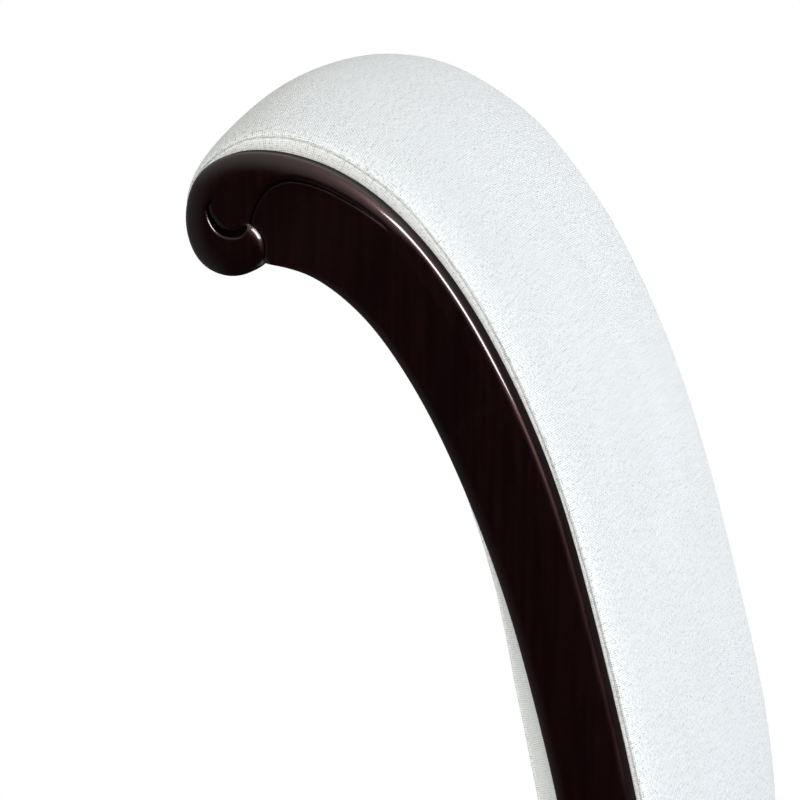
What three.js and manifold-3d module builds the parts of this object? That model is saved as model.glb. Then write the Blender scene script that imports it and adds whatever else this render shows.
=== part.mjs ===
// Klismos dining chair in millimetres, +Z up, the sitter faces -Y.
// A side frame is drawn in its own plane: u runs forward, z up, and w is the depth in from its outer face.
import * as THREE from 'three';
import { mergeVertices } from 'three/addons/utils/BufferGeometryUtils.js';
import Module from 'manifold-3d';

const wasm = await Module();
wasm.setup();

const clearance = 0.3;
const overrun = 1;

// Side frames: where they stand and how thick they are.
const splay = THREE.MathUtils.degToRad(2.5);
const frameHalfWidth = 230.8;
const datumToCentre = 109.1;
const stileThickness = 20;
const legThickness = 28;
const footHeight = 4.3;
const railTop = 445;
const railHeight = 60;
const railBottom = railTop - railHeight;
const rebateRise = 2;
const rebateTop = railTop + rebateRise;
const legWidth = 41;

// Outlines of the rear leg and stile, as [u, height above the rails' top].
const stileFrontRises = [
  [0, -15], [-4.1, 45], [-13.5, 105], [-27.7, 168.2], [-40.7, 216.6], [-55.7, 264.8], [-75.8, 312.8],
  [-102, 360.5], [-129.8, 396.1], [-158.1, 419.6], [-183.4, 431.1],
];
const scrollOutlineRises = [
  [-206.6, 435], [-224.2, 432], [-237.2, 422.2], [-243.1, 408], [-242.4, 392.5], [-234.2, 378.5],
  [-219.7, 373.5], [-208.6, 376.4],
];
const notchRise = [-204.1, 379.4];
const stileRearRises = [
  [-191.5, 377], [-178.7, 372.9], [-154.5, 355.4], [-135.1, 331.8], [-117.1, 302.1], [-95, 254.3],
  [-77.5, 206.3], [-63.9, 158.1], [-48.9, 92], [-42.5, 35], [-41, -15],
];
const rearFootReach = 160;
const rearFootToe = -rearFootReach;
const rearFootWidth = 42;
const rearFootHeel = rearFootToe - rearFootWidth;

// Outline of the front leg, u.
const frontLegBack = 375;
const frontLegWidth = 40;
const frontLegFront = frontLegBack + frontLegWidth;
const frontFootReach = 60;
const frontFootToe = frontLegFront + frontFootReach;
const frontFootWidth = 32;
const frontFootHeel = frontFootToe - frontFootWidth;

// Carving on the outer face, drawn likewise: the sunk field below the scroll's band, and the crescent
// between the hanging tongue and the lower lobe.
const relief = 3.5;
const arrisRound = 1.5;
const lobeGrooveRises = [[-203.5, 383.3], [-203.6, 387.4], [-204.4, 391.4], [-206.2, 394.9]];
const tongueTipRise = [-210.9, 399.5];
const bandGrooveRises = [
  [-208, 408.4], [-201.8, 416.9], [-190.4, 421.1], [-179.6, 419.6], [-163.2, 413], [-146.8, 403.6],
  [-135, 394.6],
];
const fieldEndRise = [-171, 359.6];
const crescentTongueSideRises = [
  [-229.2, 411.4], [-231.5, 405.3], [-226.6, 398.1], [-218.4, 395.6], [-210.4, 399.1],
];
const crescentLobeSideRises = [
  [-210.4, 399.1], [-215.8, 392.8], [-224.6, 393.1], [-231.3, 399.6], [-233, 406], [-229.2, 411.4],
];
const crescentDepth = 3;

// Seat rails and their joints.
const railInnerDepth = legThickness;
const sideRailSetBack = 3.5;
const railEdge = 1.5;
const frontRailSetBack = 4;
const frontRailThickness = 23;
const frontRailFace = frontLegFront - frontRailSetBack;
const frontRailBack = frontRailFace - frontRailThickness;
const rearRailSetBack = 4;
const rearRailThickness = 22;
const rearRailFace = -legWidth + rearRailSetBack;
const rearRailBack = rearRailFace + rearRailThickness;
const tenonHeight = 38;
const tenonThickness = 8;
const tenonLength = 14;
const tenonSideDepth = 10;
const frontTenonInset = 10;
const frontTenonBack = frontRailBack + frontTenonInset;
const rearTenonInset = 5.5;
const rearTenonBack = rearRailFace + rearTenonInset;

// Corner blocks and screws.
const boardDrop = 11.7;
const blockGap = 3.2;
const blockHeight = 28.1;
const boardBottom = railTop - boardDrop;
const blockTop = boardBottom - blockGap;
const blockBottom = blockTop - blockHeight;
const blockReach = 72;
const rearBlockReach = 92;
const blockTip = 16;
const screwReach = 50;
const rearScrewReach = 70;
const screwLength = 30;
const screwRadius = 2;
const screwHeadRadius = 4;
const screwHeadHeight = 2.2;
const screwPoint = 4;
const screwSeat = 10;
const seatScrewLength = 34;
const seatScrewInset = 30;
const seatBack = 7.5;
const seatScrewFromBack = 23.3;
const rearSeatScrewInset = seatBack + seatScrewFromBack - rearRailBack - clearance;
const counterboreReach = 60;

// Glides.
const glideRadius = 11;
const glideFace = 9;
const glideHeight = 4;
const glideInset = 3;

// Slip seat.
const seatFrontGap = 1.5;
const seatFront = frontRailBack - seatFrontGap;
const seatCorner = 22;
const seatGap = 0.8;
const boardThickness = 12;
const boardInset = 2.2;
const boardEdge = 1.5;
const clothThickness = 1.4;
const seatEdgeRise = 25;
const seatEdgeTop = railTop + seatEdgeRise;
const seatCrown = 21;
const seatCrownPower = 2.4;
const seatShoulder = 15;
const seatDrawIn = 1.6;
const seatTurnUnder = 15;
const dustInset = 10;
const dustThickness = 0.8;

// Upholstered back: line of the pad's seam, and the outside back, drawn likewise.
const padRollRises = [
  [-204.8, 376.6], [-211.5, 374.4], [-220.5, 374.4], [-230, 377.4], [-237.6, 384.3], [-243.6, 394],
  [-246, 406], [-242.2, 418.8], [-233.4, 429.6], [-222.5, 437.6], [-209.2, 440.9],
];
const padFrontRises = [
  [-193.8, 440.7], [-175, 435.6], [-149.3, 421.2], [-132.2, 407.4], [-113.8, 385.6], [-95.9, 360.2],
  [-80.6, 332.1], [-62.6, 292.8], [-47.1, 251.1], [-34.9, 212.2], [-26.5, 180.3], [-12, 117],
  [-3, 60], [1.5, 7],
];
const outsideBackRises = [
  [-197.5, 374], [-175, 367.5], [-153.5, 351], [-135.5, 327], [-119.5, 300], [-100, 258], [-86, 214],
  [-76.5, 165], [-69.5, 125], [-58, 62], [-47.5, 5],
];
const panelThickness = 6;
const panelDepth = 17;
const panelFoot = 3;
const rollCentreRise = [-220.5, 396.7];
const rollCoreRadius = 14;
const coreTurnStart = THREE.MathUtils.degToRad(-62);
const coreTurnEnd = THREE.MathUtils.degToRad(-300);
const spigotRadius = 6;
const spigotLength = 9;
const padCrown = 8.5;
const padBow = 4;
const padArch = 11;
const padLean = 1;
const padCrownPower = 4.5;
const padStartShare = 0.08;
const padEndShare = 0.12;
const padTopShare = 0.38;
const padTopReachShare = 0.26;
const outsideCrown = 2;
const outsideReturn = 8;
const boxingWidth = 17;
const boxingStartShare = 0.31;
const crossRailWidth = 34;
const crossRailThickness = 10;
const crossRailStandOff = 1.8;
const crossTenonWidth = 20;
const crossTenonThickness = 5;
const crossTenonLength = 9;
const upperCrossShare = 0.36;
const lowerCrossShare = 0.93;

// Outlines placed on the rails: [u, z].
const aboveRail = ([u, rise]) => [u, railTop + rise];
const stileFront = stileFrontRises.map(aboveRail);
const scrollOutline = scrollOutlineRises.map(aboveRail);
const stileRear = stileRearRises.map(aboveRail);
const lobeGroove = lobeGrooveRises.map(aboveRail);
const bandGroove = bandGrooveRises.map(aboveRail);
const crescentTongueSide = crescentTongueSideRises.map(aboveRail);
const crescentLobeSide = crescentLobeSideRises.map(aboveRail);
const padRoll = padRollRises.map(aboveRail);
const padFront = padFrontRises.map(aboveRail);
const outsideBack = outsideBackRises.map(aboveRail);
const notch = aboveRail(notchRise);
const fieldEnd = aboveRail(fieldEndRise);
const tongueTip = aboveRail(tongueTipRise);
const rollCentre = aboveRail(rollCentreRise);

// Fineness of curves.
const headPartSteps = 4;
const frontSteps = 26;
const rearSteps = 24;
const legSteps = 11;
const grooveSteps = 14;
const lobeSteps = 6;
const crescentSteps = 9;
const turnSteps = 12;
const rollSteps = 28;
const coreSteps = 13;
const padColumns = 10;
const outsideRows = 12;
const panelSteps = 20;
const seatSideSteps = 5;
const seatCornerSteps = 4;

const finishes = {
  mahogany: { color: 0x1a0a08, roughness: 0.16, metalness: 0 },
  beech: { color: 0xc49a6c, roughness: 0.6, metalness: 0 },
  plywood: { color: 0xb8925f, roughness: 0.65, metalness: 0 },
  linen: { color: 0xe9ebea, roughness: 0.9, metalness: 0 },
  foam: { color: 0xe8dfb8, roughness: 0.95, metalness: 0 },
  cambric: { color: 0x1b1b1c, roughness: 0.95, metalness: 0 },
  zinc: { color: 0xb9bcc0, roughness: 0.35, metalness: 1 },
  nylon: { color: 0x2a2522, roughness: 0.5, metalness: 0 },
};

const chair = new THREE.Group();
chair.name = 'klismos_chair';

function toManifold(geometry) {
  const bare = geometry.clone();
  bare.deleteAttribute('normal');
  bare.deleteAttribute('uv');
  const merged = mergeVertices(bare);
  return new wasm.Manifold(new wasm.Mesh({
    numProp: 3,
    vertProperties: new Float32Array(merged.attributes.position.array),
    triVerts: new Uint32Array(merged.index.array),
  }));
}

function toGeometry(manifold) {
  const mesh = manifold.getMesh();
  const geometry = new THREE.BufferGeometry();
  geometry.setAttribute('position', new THREE.Float32BufferAttribute(mesh.vertProperties, 3));
  geometry.setIndex(Array.from(mesh.triVerts));
  return geometry;
}

function combine(bodies, cuts = []) {
  let whole = toManifold(bodies[0]);
  for (const body of bodies.slice(1)) whole = whole.add(toManifold(body));
  for (const cut of cuts) whole = whole.subtract(toManifold(cut));
  return toGeometry(whole);
}

function addPart(name, geometry, finish) {
  const shown = geometry.index ? geometry.toNonIndexed() : geometry;
  shown.computeVertexNormals();
  const mesh = new THREE.Mesh(shown, new THREE.MeshStandardMaterial(finishes[finish]));
  mesh.name = name;
  chair.add(mesh);
}

// The other side of the chair: x changes sign and the triangles are turned over.
function mirrored(geometry) {
  const copy = mergeVertices(bareOf(geometry.clone()));
  copy.scale(-1, 1, 1);
  const index = copy.index;
  for (let i = 0; i < index.count; i += 3) {
    const first = index.getX(i);
    index.setX(i, index.getX(i + 2));
    index.setX(i + 2, first);
  }
  return copy;
}

function addPair(name, geometry, finish) {
  addPart(`${name}_left`, geometry, finish);
  addPart(`${name}_right`, mirrored(geometry), finish);
}

function curveThrough(points) {
  const corners = points.map(([u, z]) => new THREE.Vector3(u, z, 0));
  return new THREE.CatmullRomCurve3(corners, false, 'centripetal');
}

// Smooth line with its steps spread by the given points, or spread evenly along its length.
function smoothLine(points, steps) {
  return curveThrough(points).getPoints(steps).map((p) => [p.x, p.y]);
}

function spacedLine(points, steps) {
  return curveThrough(points).getSpacedPoints(steps).map((p) => [p.x, p.y]);
}

// A leg's edge: a circular arc that leaves the rail upright and ends at the foot.
function sweep(uTop, zTop, uFoot, zFoot) {
  const angle = 2 * Math.atan(Math.abs(uFoot - uTop) / (zTop - zFoot));
  const radius = (zTop - zFoot) / Math.sin(angle);
  const way = Math.sign(uFoot - uTop);
  return Array.from({ length: legSteps + 1 }, (_, i) => {
    const a = (angle * i) / legSteps;
    return [uTop + way * radius * (1 - Math.cos(a)), zTop - radius * Math.sin(a)];
  });
}

// Moves a line sideways, positive to the left of its direction.
function offsetLine(line, distance) {
  return line.map((point, i) => {
    const before = line[Math.max(i - 1, 0)];
    const after = line[Math.min(i + 1, line.length - 1)];
    const du = after[0] - before[0];
    const dz = after[1] - before[1];
    const length = Math.hypot(du, dz);
    return [point[0] - (distance * dz) / length, point[1] + (distance * du) / length];
  });
}

function shapeOf(line) {
  return new THREE.Shape(line.map(([u, z]) => new THREE.Vector2(u, z)));
}

// Places a piece drawn as (u, z, w) on the left side frame.
function onFrame(geometry) {
  const along = new THREE.Vector3(Math.sin(splay), -Math.cos(splay), 0);
  const up = new THREE.Vector3(0, 0, 1);
  const inward = new THREE.Vector3(-Math.cos(splay), -Math.sin(splay), 0);
  const matrix = new THREE.Matrix4().makeBasis(along, up, inward);
  matrix.setPosition(frameHalfWidth, datumToCentre, 0);
  return geometry.applyMatrix4(matrix);
}

// Plate with a closed outline in the frame's plane, between two depths, its edges rounded by `round`.
function plate(line, from, to, round = 0, steps = 1) {
  const geometry = new THREE.ExtrudeGeometry(shapeOf(line), {
    depth: to - from - 2 * round,
    bevelEnabled: round > 0,
    bevelThickness: round,
    bevelSize: round,
    bevelOffset: -round,
    bevelSegments: steps,
  });
  geometry.translate(0, 0, from + round);
  return onFrame(geometry);
}

// Points of a line drawn in the frame's plane, as [q, z] with q straight forward, where they lie on the stile.
function atStile(points) {
  return points.map(([u, z]) => [u * Math.cos(splay) + stileThickness * Math.sin(splay), z]);
}

// Half the width between the side frames at a depth w, at a distance q forward of the datum.
function halfBetween(q, w) {
  const u = (q - w * Math.sin(splay)) / Math.cos(splay);
  return frameHalfWidth + u * Math.sin(splay) - w * Math.cos(splay);
}

function worldPoint(share, q, z, w) {
  return new THREE.Vector3(share * halfBetween(q, w), datumToCentre - q, z);
}

// Bar across the chair with a closed outline in (q, z); its ends lie at depth w in both side frames.
function across(line, w) {
  const geometry = new THREE.ExtrudeGeometry(shapeOf(line), { depth: 1, bevelEnabled: false });
  const position = geometry.attributes.position;
  for (let i = 0; i < position.count; i++) {
    const p = worldPoint(1 - 2 * position.getZ(i), position.getX(i), position.getY(i), w);
    position.setXYZ(i, p.x, p.y, p.z);
  }
  return facingOut(mergeVertices(bareOf(geometry)));
}

function bareOf(geometry) {
  geometry.deleteAttribute('normal');
  geometry.deleteAttribute('uv');
  return geometry;
}

// Turns the triangles over where a body's volume comes out negative.
function facingOut(geometry) {
  const [a, b, c] = [new THREE.Vector3(), new THREE.Vector3(), new THREE.Vector3()];
  const { index, attributes: { position } } = geometry;
  let volume = 0;
  for (let i = 0; i < index.count; i += 3) {
    a.fromBufferAttribute(position, index.getX(i));
    b.fromBufferAttribute(position, index.getX(i + 1));
    c.fromBufferAttribute(position, index.getX(i + 2));
    volume += a.dot(b.cross(c));
  }
  if (volume > 0) return geometry;
  for (let i = 0; i < index.count; i += 3) {
    const first = index.getX(i);
    index.setX(i, index.getX(i + 2));
    index.setX(i + 2, first);
  }
  return geometry;
}

function bodyOf(points, triangles) {
  const geometry = new THREE.BufferGeometry().setFromPoints(points);
  geometry.setIndex(triangles);
  return facingOut(geometry);
}

// Closed body between two grids of points with the same rows and columns.
function slab(outer, inner) {
  const rows = outer.length;
  const columns = outer[0].length;
  const at = (i, j) => i * columns + j;
  const under = (i, j) => rows * columns + at(i, j);
  const triangles = [];
  const quad = (a, b, c, d) => triangles.push(a, b, c, a, c, d);
  for (let i = 0; i < rows - 1; i++) {
    for (let j = 0; j < columns - 1; j++) {
      quad(at(i, j), at(i, j + 1), at(i + 1, j + 1), at(i + 1, j));
      quad(under(i, j), under(i + 1, j), under(i + 1, j + 1), under(i, j + 1));
    }
    quad(at(i, 0), at(i + 1, 0), under(i + 1, 0), under(i, 0));
    quad(at(i + 1, columns - 1), at(i, columns - 1), under(i, columns - 1), under(i + 1, columns - 1));
  }
  for (let j = 0; j < columns - 1; j++) {
    quad(at(0, j + 1), at(0, j), under(0, j), under(0, j + 1));
    quad(at(rows - 1, j), at(rows - 1, j + 1), under(rows - 1, j + 1), under(rows - 1, j));
  }
  return bodyOf([...outer.flat(), ...inner.flat()], triangles);
}

// Closed body from rings of points round the same axis, closed by a point at each end.
function ringed(firstPoint, rings, lastPoint) {
  const count = rings[0].length;
  const points = [firstPoint, ...rings.flat(), lastPoint];
  const last = points.length - 1;
  const at = (ring, k) => 1 + ring * count + (k % count);
  const triangles = [];
  for (let k = 0; k < count; k++) {
    triangles.push(0, at(0, k), at(0, k + 1));
    for (let r = 0; r < rings.length - 1; r++) {
      triangles.push(at(r, k), at(r + 1, k), at(r + 1, k + 1), at(r, k), at(r + 1, k + 1), at(r, k + 1));
    }
    triangles.push(last, at(rings.length - 1, k + 1), at(rings.length - 1, k));
  }
  return bodyOf(points, triangles);
}

// Rectangle in the frame's plane.
function box(uFrom, uTo, zFrom, zTo) {
  return [[uFrom, zFrom], [uTo, zFrom], [uTo, zTo], [uFrom, zTo]];
}

function grown(rectangle, by) {
  const [[u0, z0], , [u1, z1]] = rectangle;
  return box(u0 - by, u1 + by, z0 - by, z1 + by);
}

// Screw along +Y from the origin: countersunk head, shank and point. `room` makes the hole for it.
function screwBody(length, room = 0, behind = 0) {
  const head = screwHeadRadius + room;
  const shank = screwRadius + room;
  const profile = [
    [0, -behind - room], [head, -behind - room], [head, 0], [shank, screwHeadHeight],
    [shank, length - screwPoint], [0, length + room],
  ];
  return turned(profile, turnSteps);
}

function turned(profile, steps) {
  const points = profile.map(([radius, y]) => new THREE.Vector2(radius, y));
  return mergeVertices(bareOf(new THREE.LatheGeometry(points, steps)));
}

function pointed(geometry, start, direction) {
  const up = new THREE.Vector3(0, 1, 0);
  const turn = new THREE.Quaternion().setFromUnitVectors(up, direction.clone().normalize());
  return facingOut(geometry.applyQuaternion(turn).translate(start.x, start.y, start.z));
}

// Rows of the pad along its seam: round the roll, then down the front in step with the panel.
const seamLine = [...smoothLine(padRoll, coreSteps), ...spacedLine(padFront, panelSteps)];
const [rollAxis] = atStile([rollCentre]);

// Face of the bent panel, from under the roll down to the seat, at a depth behind the stile's front edge.
const stileAboveSeat = [[stileFront[0][0], rebateTop + panelFoot], ...stileFront.slice(1)];
const panelLine = atStile(offsetLine(spacedLine(stileAboveSeat, panelSteps), panelDepth)).reverse();

// Closed outline of the rear leg and stile, foot to foot round the scroll.
const headPoints = [...stileFront.slice(-2), ...scrollOutline, notch];
const headLine = smoothLine(headPoints, headPartSteps * (headPoints.length - 1)).slice(headPartSteps + 1);
const stileFrontLine = spacedLine(stileFront, frontSteps);
const rearLegFrontLine = sweep(0, railBottom, rearFootToe, footHeight).reverse();
const stileRearLine = spacedLine([notch, ...stileRear], rearSteps).slice(1);
const rearLegBackLine = sweep(-legWidth, railBottom, rearFootHeel, footHeight);
const frontOutline = [...rearLegFrontLine, ...stileFrontLine, ...headLine];
const rearLegOutline = [...frontOutline, ...stileRearLine, ...rearLegBackLine];

// Sinks the field beside the band: full depth at the tongue's tip, rising to nothing at the groove's end.
function fieldCut() {
  const lobe = smoothLine([notch, ...lobeGroove, tongueTip], lobeSteps);
  const groove = smoothLine([tongueTip, ...bandGroove], grooveSteps).slice(1);
  const [grooveEnd] = groove.slice(-1);
  const across = new THREE.Vector2(fieldEnd[0] - grooveEnd[0], fieldEnd[1] - grooveEnd[1]).normalize();
  const run = ([u, z]) => (grooveEnd[0] - u) * -across.y + (grooveEnd[1] - z) * across.x;
  const geometry = new THREE.ExtrudeGeometry(shapeOf([...lobe, ...groove, fieldEnd]), {
    depth: overrun, bevelEnabled: false,
  });
  const position = geometry.attributes.position;
  for (let i = 0; i < position.count; i++) {
    const floor = (relief * run([position.getX(i), position.getY(i)])) / run(tongueTip);
    position.setZ(i, position.getZ(i) > 0 ? floor : -overrun);
  }
  return onFrame(geometry);
}

function crescentCut() {
  const tongueSide = smoothLine(crescentTongueSide, crescentSteps);
  const lobeSide = smoothLine(crescentLobeSide, crescentSteps + 1).slice(1, -1);
  return plate([...tongueSide, ...lobeSide], -overrun, crescentDepth);
}

// The part of the leg below the rebate is thicker on its inner side.
function legThickening(outline) {
  const whole = toManifold(plate(outline, stileThickness - overrun, legThickness));
  const below = box(rearFootHeel - overrun, frontFootToe + overrun, -overrun, rebateTop);
  return toGeometry(whole.intersect(toManifold(plate(below, 0, legThickness + overrun))));
}

// Tenon of a rail, or with `room` the mortise for it.
function tenonBox(from, to, room) {
  const middle = (railTop + railBottom) / 2;
  return grown(box(from, to, middle - tenonHeight / 2, middle + tenonHeight / 2), room);
}

function sideTenon(uFrom, uTo, room = 0) {
  return plate(tenonBox(uFrom, uTo, room), tenonSideDepth - room, tenonSideDepth + tenonThickness + room);
}

function crossTenon(qBack, room = 0) {
  return across(tenonBox(qBack, qBack + tenonThickness, room), railInnerDepth - tenonLength - room);
}

// Point on a line and its direction, at a share of its number of points.
function along(line, share) {
  const i = Math.round(share * (line.length - 2));
  const [a, b] = [line[i], line[i + 1]];
  return { point: a, angle: Math.atan2(b[1] - a[1], b[0] - a[0]) };
}

// Cross rail behind the panel and its tenons, turned to the slope of the panel there.
function crossRailLine(share, width, thickness, room = 0) {
  const { point, angle } = along(panelLine, share);
  const depth = panelThickness + crossRailStandOff + crossRailThickness / 2;
  const [half, thick] = [width / 2 + room, thickness / 2 + room];
  const corners = [[-half, -thick], [half, -thick], [half, thick], [-half, thick]];
  const [cos, sin] = [Math.cos(angle), Math.sin(angle)];
  return corners.map(([s, t]) => [
    point[0] + s * cos + (t - depth) * -sin, point[1] + s * sin + (t - depth) * cos,
  ]);
}

function spigot(room = 0) {
  return across(circle(rollAxis, spigotRadius + room, turnSteps), stileThickness - spigotLength - room);
}

function circle([u, z], radius, steps) {
  return Array.from({ length: steps }, (_, i) => {
    const angle = (2 * Math.PI * i) / steps;
    return [u + radius * Math.cos(angle), z + radius * Math.sin(angle)];
  });
}

// Corner of the seat frame: its point, the direction along the side rail and along the cross rail.
function seatCornerFrame(q, forward, reach, screwAt, seatScrewAt) {
  const w = railInnerDepth + clearance;
  const corner = new THREE.Vector3(halfBetween(q, w), datumToCentre - q, 0);
  const way = forward ? 1 : -1;
  const side = new THREE.Vector3(Math.sin(splay), -Math.cos(splay), 0).multiplyScalar(way);
  return { corner, side, cross: new THREE.Vector3(-1, 0, 0), reach, screwAt, seatScrewAt };
}

const blockCorners = {
  rear: seatCornerFrame(rearRailBack + clearance, true, rearBlockReach, rearScrewReach, rearSeatScrewInset),
  front: seatCornerFrame(frontRailBack - clearance, false, blockReach, screwReach, seatScrewInset),
};

function blockBody({ corner, side, cross, reach }) {
  const at = (s, c) => corner.clone().addScaledVector(side, s).addScaledVector(cross, c);
  const line = [at(0, 0), at(reach, 0), at(reach, blockTip), at(blockTip, blockReach), at(0, blockReach)];
  const shape = new THREE.Shape(line.map((p) => new THREE.Vector2(p.x, p.y)));
  const geometry = new THREE.ExtrudeGeometry(shape, { depth: blockTop - blockBottom, bevelEnabled: false });
  return facingOut(mergeVertices(bareOf(geometry.translate(0, 0, blockBottom))));
}

// Screws of a corner block: one into the side rail, one into the cross rail, one up into the seat.
function blockScrews({ corner, side, cross, screwAt, seatScrewAt }, room = 0) {
  const middle = (blockTop + blockBottom) / 2;
  const behind = room > 0 ? counterboreReach : 0;
  const start = (s, c, z) => corner.clone().addScaledVector(side, s).addScaledVector(cross, c).setZ(z);
  const outward = side.clone().cross(new THREE.Vector3(0, 0, 1));
  if (outward.x < 0) outward.negate();
  const intoCross = new THREE.Vector3(0, -Math.sign(side.y), 0);
  return {
    side: pointed(screwBody(screwLength, room, behind), start(screwAt, screwSeat, middle), outward),
    cross: pointed(screwBody(screwLength, room, behind), start(screwSeat, screwReach, middle), intoCross),
    seat: pointed(
      screwBody(seatScrewLength, room, room > 0 ? overrun : 0),
      start(seatScrewAt, seatScrewInset, blockBottom + clearance), new THREE.Vector3(0, 0, 1)),
  };
}

function addScrewsAndBlocks() {
  for (const [place, frame] of Object.entries(blockCorners)) {
    const holes = Object.values(blockScrews(frame, clearance));
    addPair(`corner_block_${place}`, combine([blockBody(frame)], holes), 'beech');
    const screws = blockScrews(frame);
    addPair(`block_screw_${place}_side`, screws.side, 'zinc');
    addPair(`block_screw_${place}_cross`, screws.cross, 'zinc');
    addPair(`seat_screw_${place}`, screws.seat, 'zinc');
  }
}

function addRearLegs() {
  const body = plate(rearLegOutline, 0, stileThickness, arrisRound);
  const cuts = [
    fieldCut(), crescentCut(), sideTenon(-tenonLength, overrun, clearance),
    crossTenon(rearTenonBack, clearance), spigot(clearance),
    ...[upperCrossShare, lowerCrossShare].map((share) => across(
      crossRailLine(share, crossTenonWidth, crossTenonThickness, clearance),
      stileThickness - crossTenonLength - clearance)),
  ];
  addPair('rear_leg_stile', combine([body, legThickening(rearLegOutline)], cuts), 'mahogany');
}

function addFrontLegs() {
  const front = sweep(frontLegFront, railBottom, frontFootToe, footHeight);
  const back = sweep(frontLegBack, railBottom, frontFootHeel, footHeight).reverse();
  const outline = [[frontLegFront, railTop], ...front, ...back, [frontLegBack, railTop]].reverse();
  const body = plate(outline, 0, stileThickness, arrisRound);
  const cuts = [
    sideTenon(frontLegBack - overrun, frontLegBack + tenonLength, clearance),
    crossTenon(frontTenonBack, clearance),
  ];
  addPair('front_leg', combine([body, legThickening(outline)], cuts), 'mahogany');
}

// Outline of a rail's cross-section, its arrises taken off: depth from the outer face, and height.
function railSection(outer, inner) {
  const way = Math.sign(inner - outer);
  return [
    [inner, railTop - railEdge], [inner - way * railEdge, railTop],
    [outer + way * railEdge, railTop], [outer, railTop - railEdge],
    [outer, railBottom + railEdge], [outer + way * railEdge, railBottom],
    [inner - way * railEdge, railBottom], [inner, railBottom + railEdge],
  ];
}

function addSideRails() {
  const [from, to] = [clearance, frontLegBack - clearance];
  const section = railSection(sideRailSetBack, railInnerDepth);
  const geometry = new THREE.ExtrudeGeometry(shapeOf(section), { depth: to - from, bevelEnabled: false });
  // The section is drawn as (w, z) and extruded along u.
  geometry.translate(0, 0, from);
  geometry.applyMatrix4(new THREE.Matrix4().set(0, 0, 1, 0, 0, 1, 0, 0, 1, 0, 0, 0, 0, 0, 0, 1));
  const bar = facingOut(mergeVertices(bareOf(onFrame(geometry))));
  const tenons = [
    sideTenon(clearance - tenonLength, from + overrun),
    sideTenon(to - overrun, frontLegBack + tenonLength - clearance),
  ];
  const holes = Object.values(blockCorners).map((frame) => blockScrews(frame, clearance).side);
  addPair('side_rail', combine([bar, ...tenons], holes), 'mahogany');
}

function addCrossRail(name, outer, inner, tenonBack, corner) {
  const bar = across(railSection(outer, inner), railInnerDepth + clearance);
  const hole = blockScrews(corner, clearance).cross;
  const holes = [hole, mirrored(hole)];
  addPart(name, combine([bar, crossTenon(tenonBack)], holes), 'mahogany');
}

function addGlides() {
  const feet = {
    rear: (rearFootToe + rearFootHeel) / 2,
    front: (frontFootToe + frontFootHeel) / 2,
  };
  for (const [place, u] of Object.entries(feet)) {
    const glide = turned([
      [0, 0], [glideFace, 0], [glideRadius, glideInset], [glideRadius, glideHeight], [0, glideHeight],
    ], turnSteps * 2);
    const depth = legThickness / 2;
    const centre = onFrame(new THREE.BufferGeometry().setFromPoints([new THREE.Vector3(u, 0, depth)]));
    const at = new THREE.Vector3().fromBufferAttribute(centre.attributes.position, 0);
    addPair(`glide_${place}`, pointed(glide, at, new THREE.Vector3(0, 0, 1)), 'nylon');
  }
}

// Plan outline of the slip seat, with round corners, as points [x, q].
function seatPlan() {
  const w = railInnerDepth + seatGap;
  const corners = [
    [halfBetween(seatBack, w), seatBack], [halfBetween(seatFront, w), seatFront],
    [-halfBetween(seatFront, w), seatFront], [-halfBetween(seatBack, w), seatBack],
  ];
  const line = [];
  corners.forEach((corner, i) => {
    const before = new THREE.Vector2(...corners[(i + 3) % 4]);
    const here = new THREE.Vector2(...corner);
    const after = new THREE.Vector2(...corners[(i + 1) % 4]);
    const start = here.clone().add(before.clone().sub(here).setLength(seatCorner));
    const end = here.clone().add(after.clone().sub(here).setLength(seatCorner));
    const turn = new THREE.QuadraticBezierCurve(start, here, end).getPoints(seatCornerSteps);
    const next = after.clone().add(here.clone().sub(after).setLength(seatCorner));
    for (let k = 0; k <= seatCornerSteps; k++) line.push([turn[k].x, turn[k].y]);
    for (let k = 1; k < seatSideSteps; k++) {
      const between = end.clone().lerp(next, k / seatSideSteps);
      line.push([between.x, between.y]);
    }
  });
  return line;
}

const plan = seatPlan();
const planMiddle = (seatFront + seatBack) / 2;
const planHalf = (seatFront - seatBack) / 2;

// Ring of the seat at an inset from its outline and a height.
function seatRing(inset, z) {
  const share = 1 - inset / planHalf;
  return plan.map(([x, q]) => seatMiddle(z).add(new THREE.Vector3(x * share, (planMiddle - q) * share, 0)));
}

function seatMiddle(z) {
  return new THREE.Vector3(0, datumToCentre - planMiddle, z);
}

// Section of the cushion from near its middle to under the board, as [inset, z], shrunk by `skin`.
function seatSection(skin) {
  const crownShares = [0.2, 0.42, 0.64, 0.84];
  const flat = planHalf - seatShoulder;
  const top = crownShares.map((share) => [
    planHalf - share * flat, seatEdgeTop + seatCrown * (1 - share ** seatCrownPower) - skin,
  ]);
  const shoulderSteps = 3;
  const turn = Array.from({ length: shoulderSteps + 1 }, (_, i) => {
    const angle = (Math.PI / 2) * (i / shoulderSteps);
    const radius = seatShoulder - skin;
    return [seatShoulder - radius * Math.sin(angle), seatEdgeTop - seatShoulder + radius * Math.cos(angle)];
  });
  return [...top, ...turn, [seatDrawIn + skin, railTop + seatDrawIn]];
}

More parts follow.
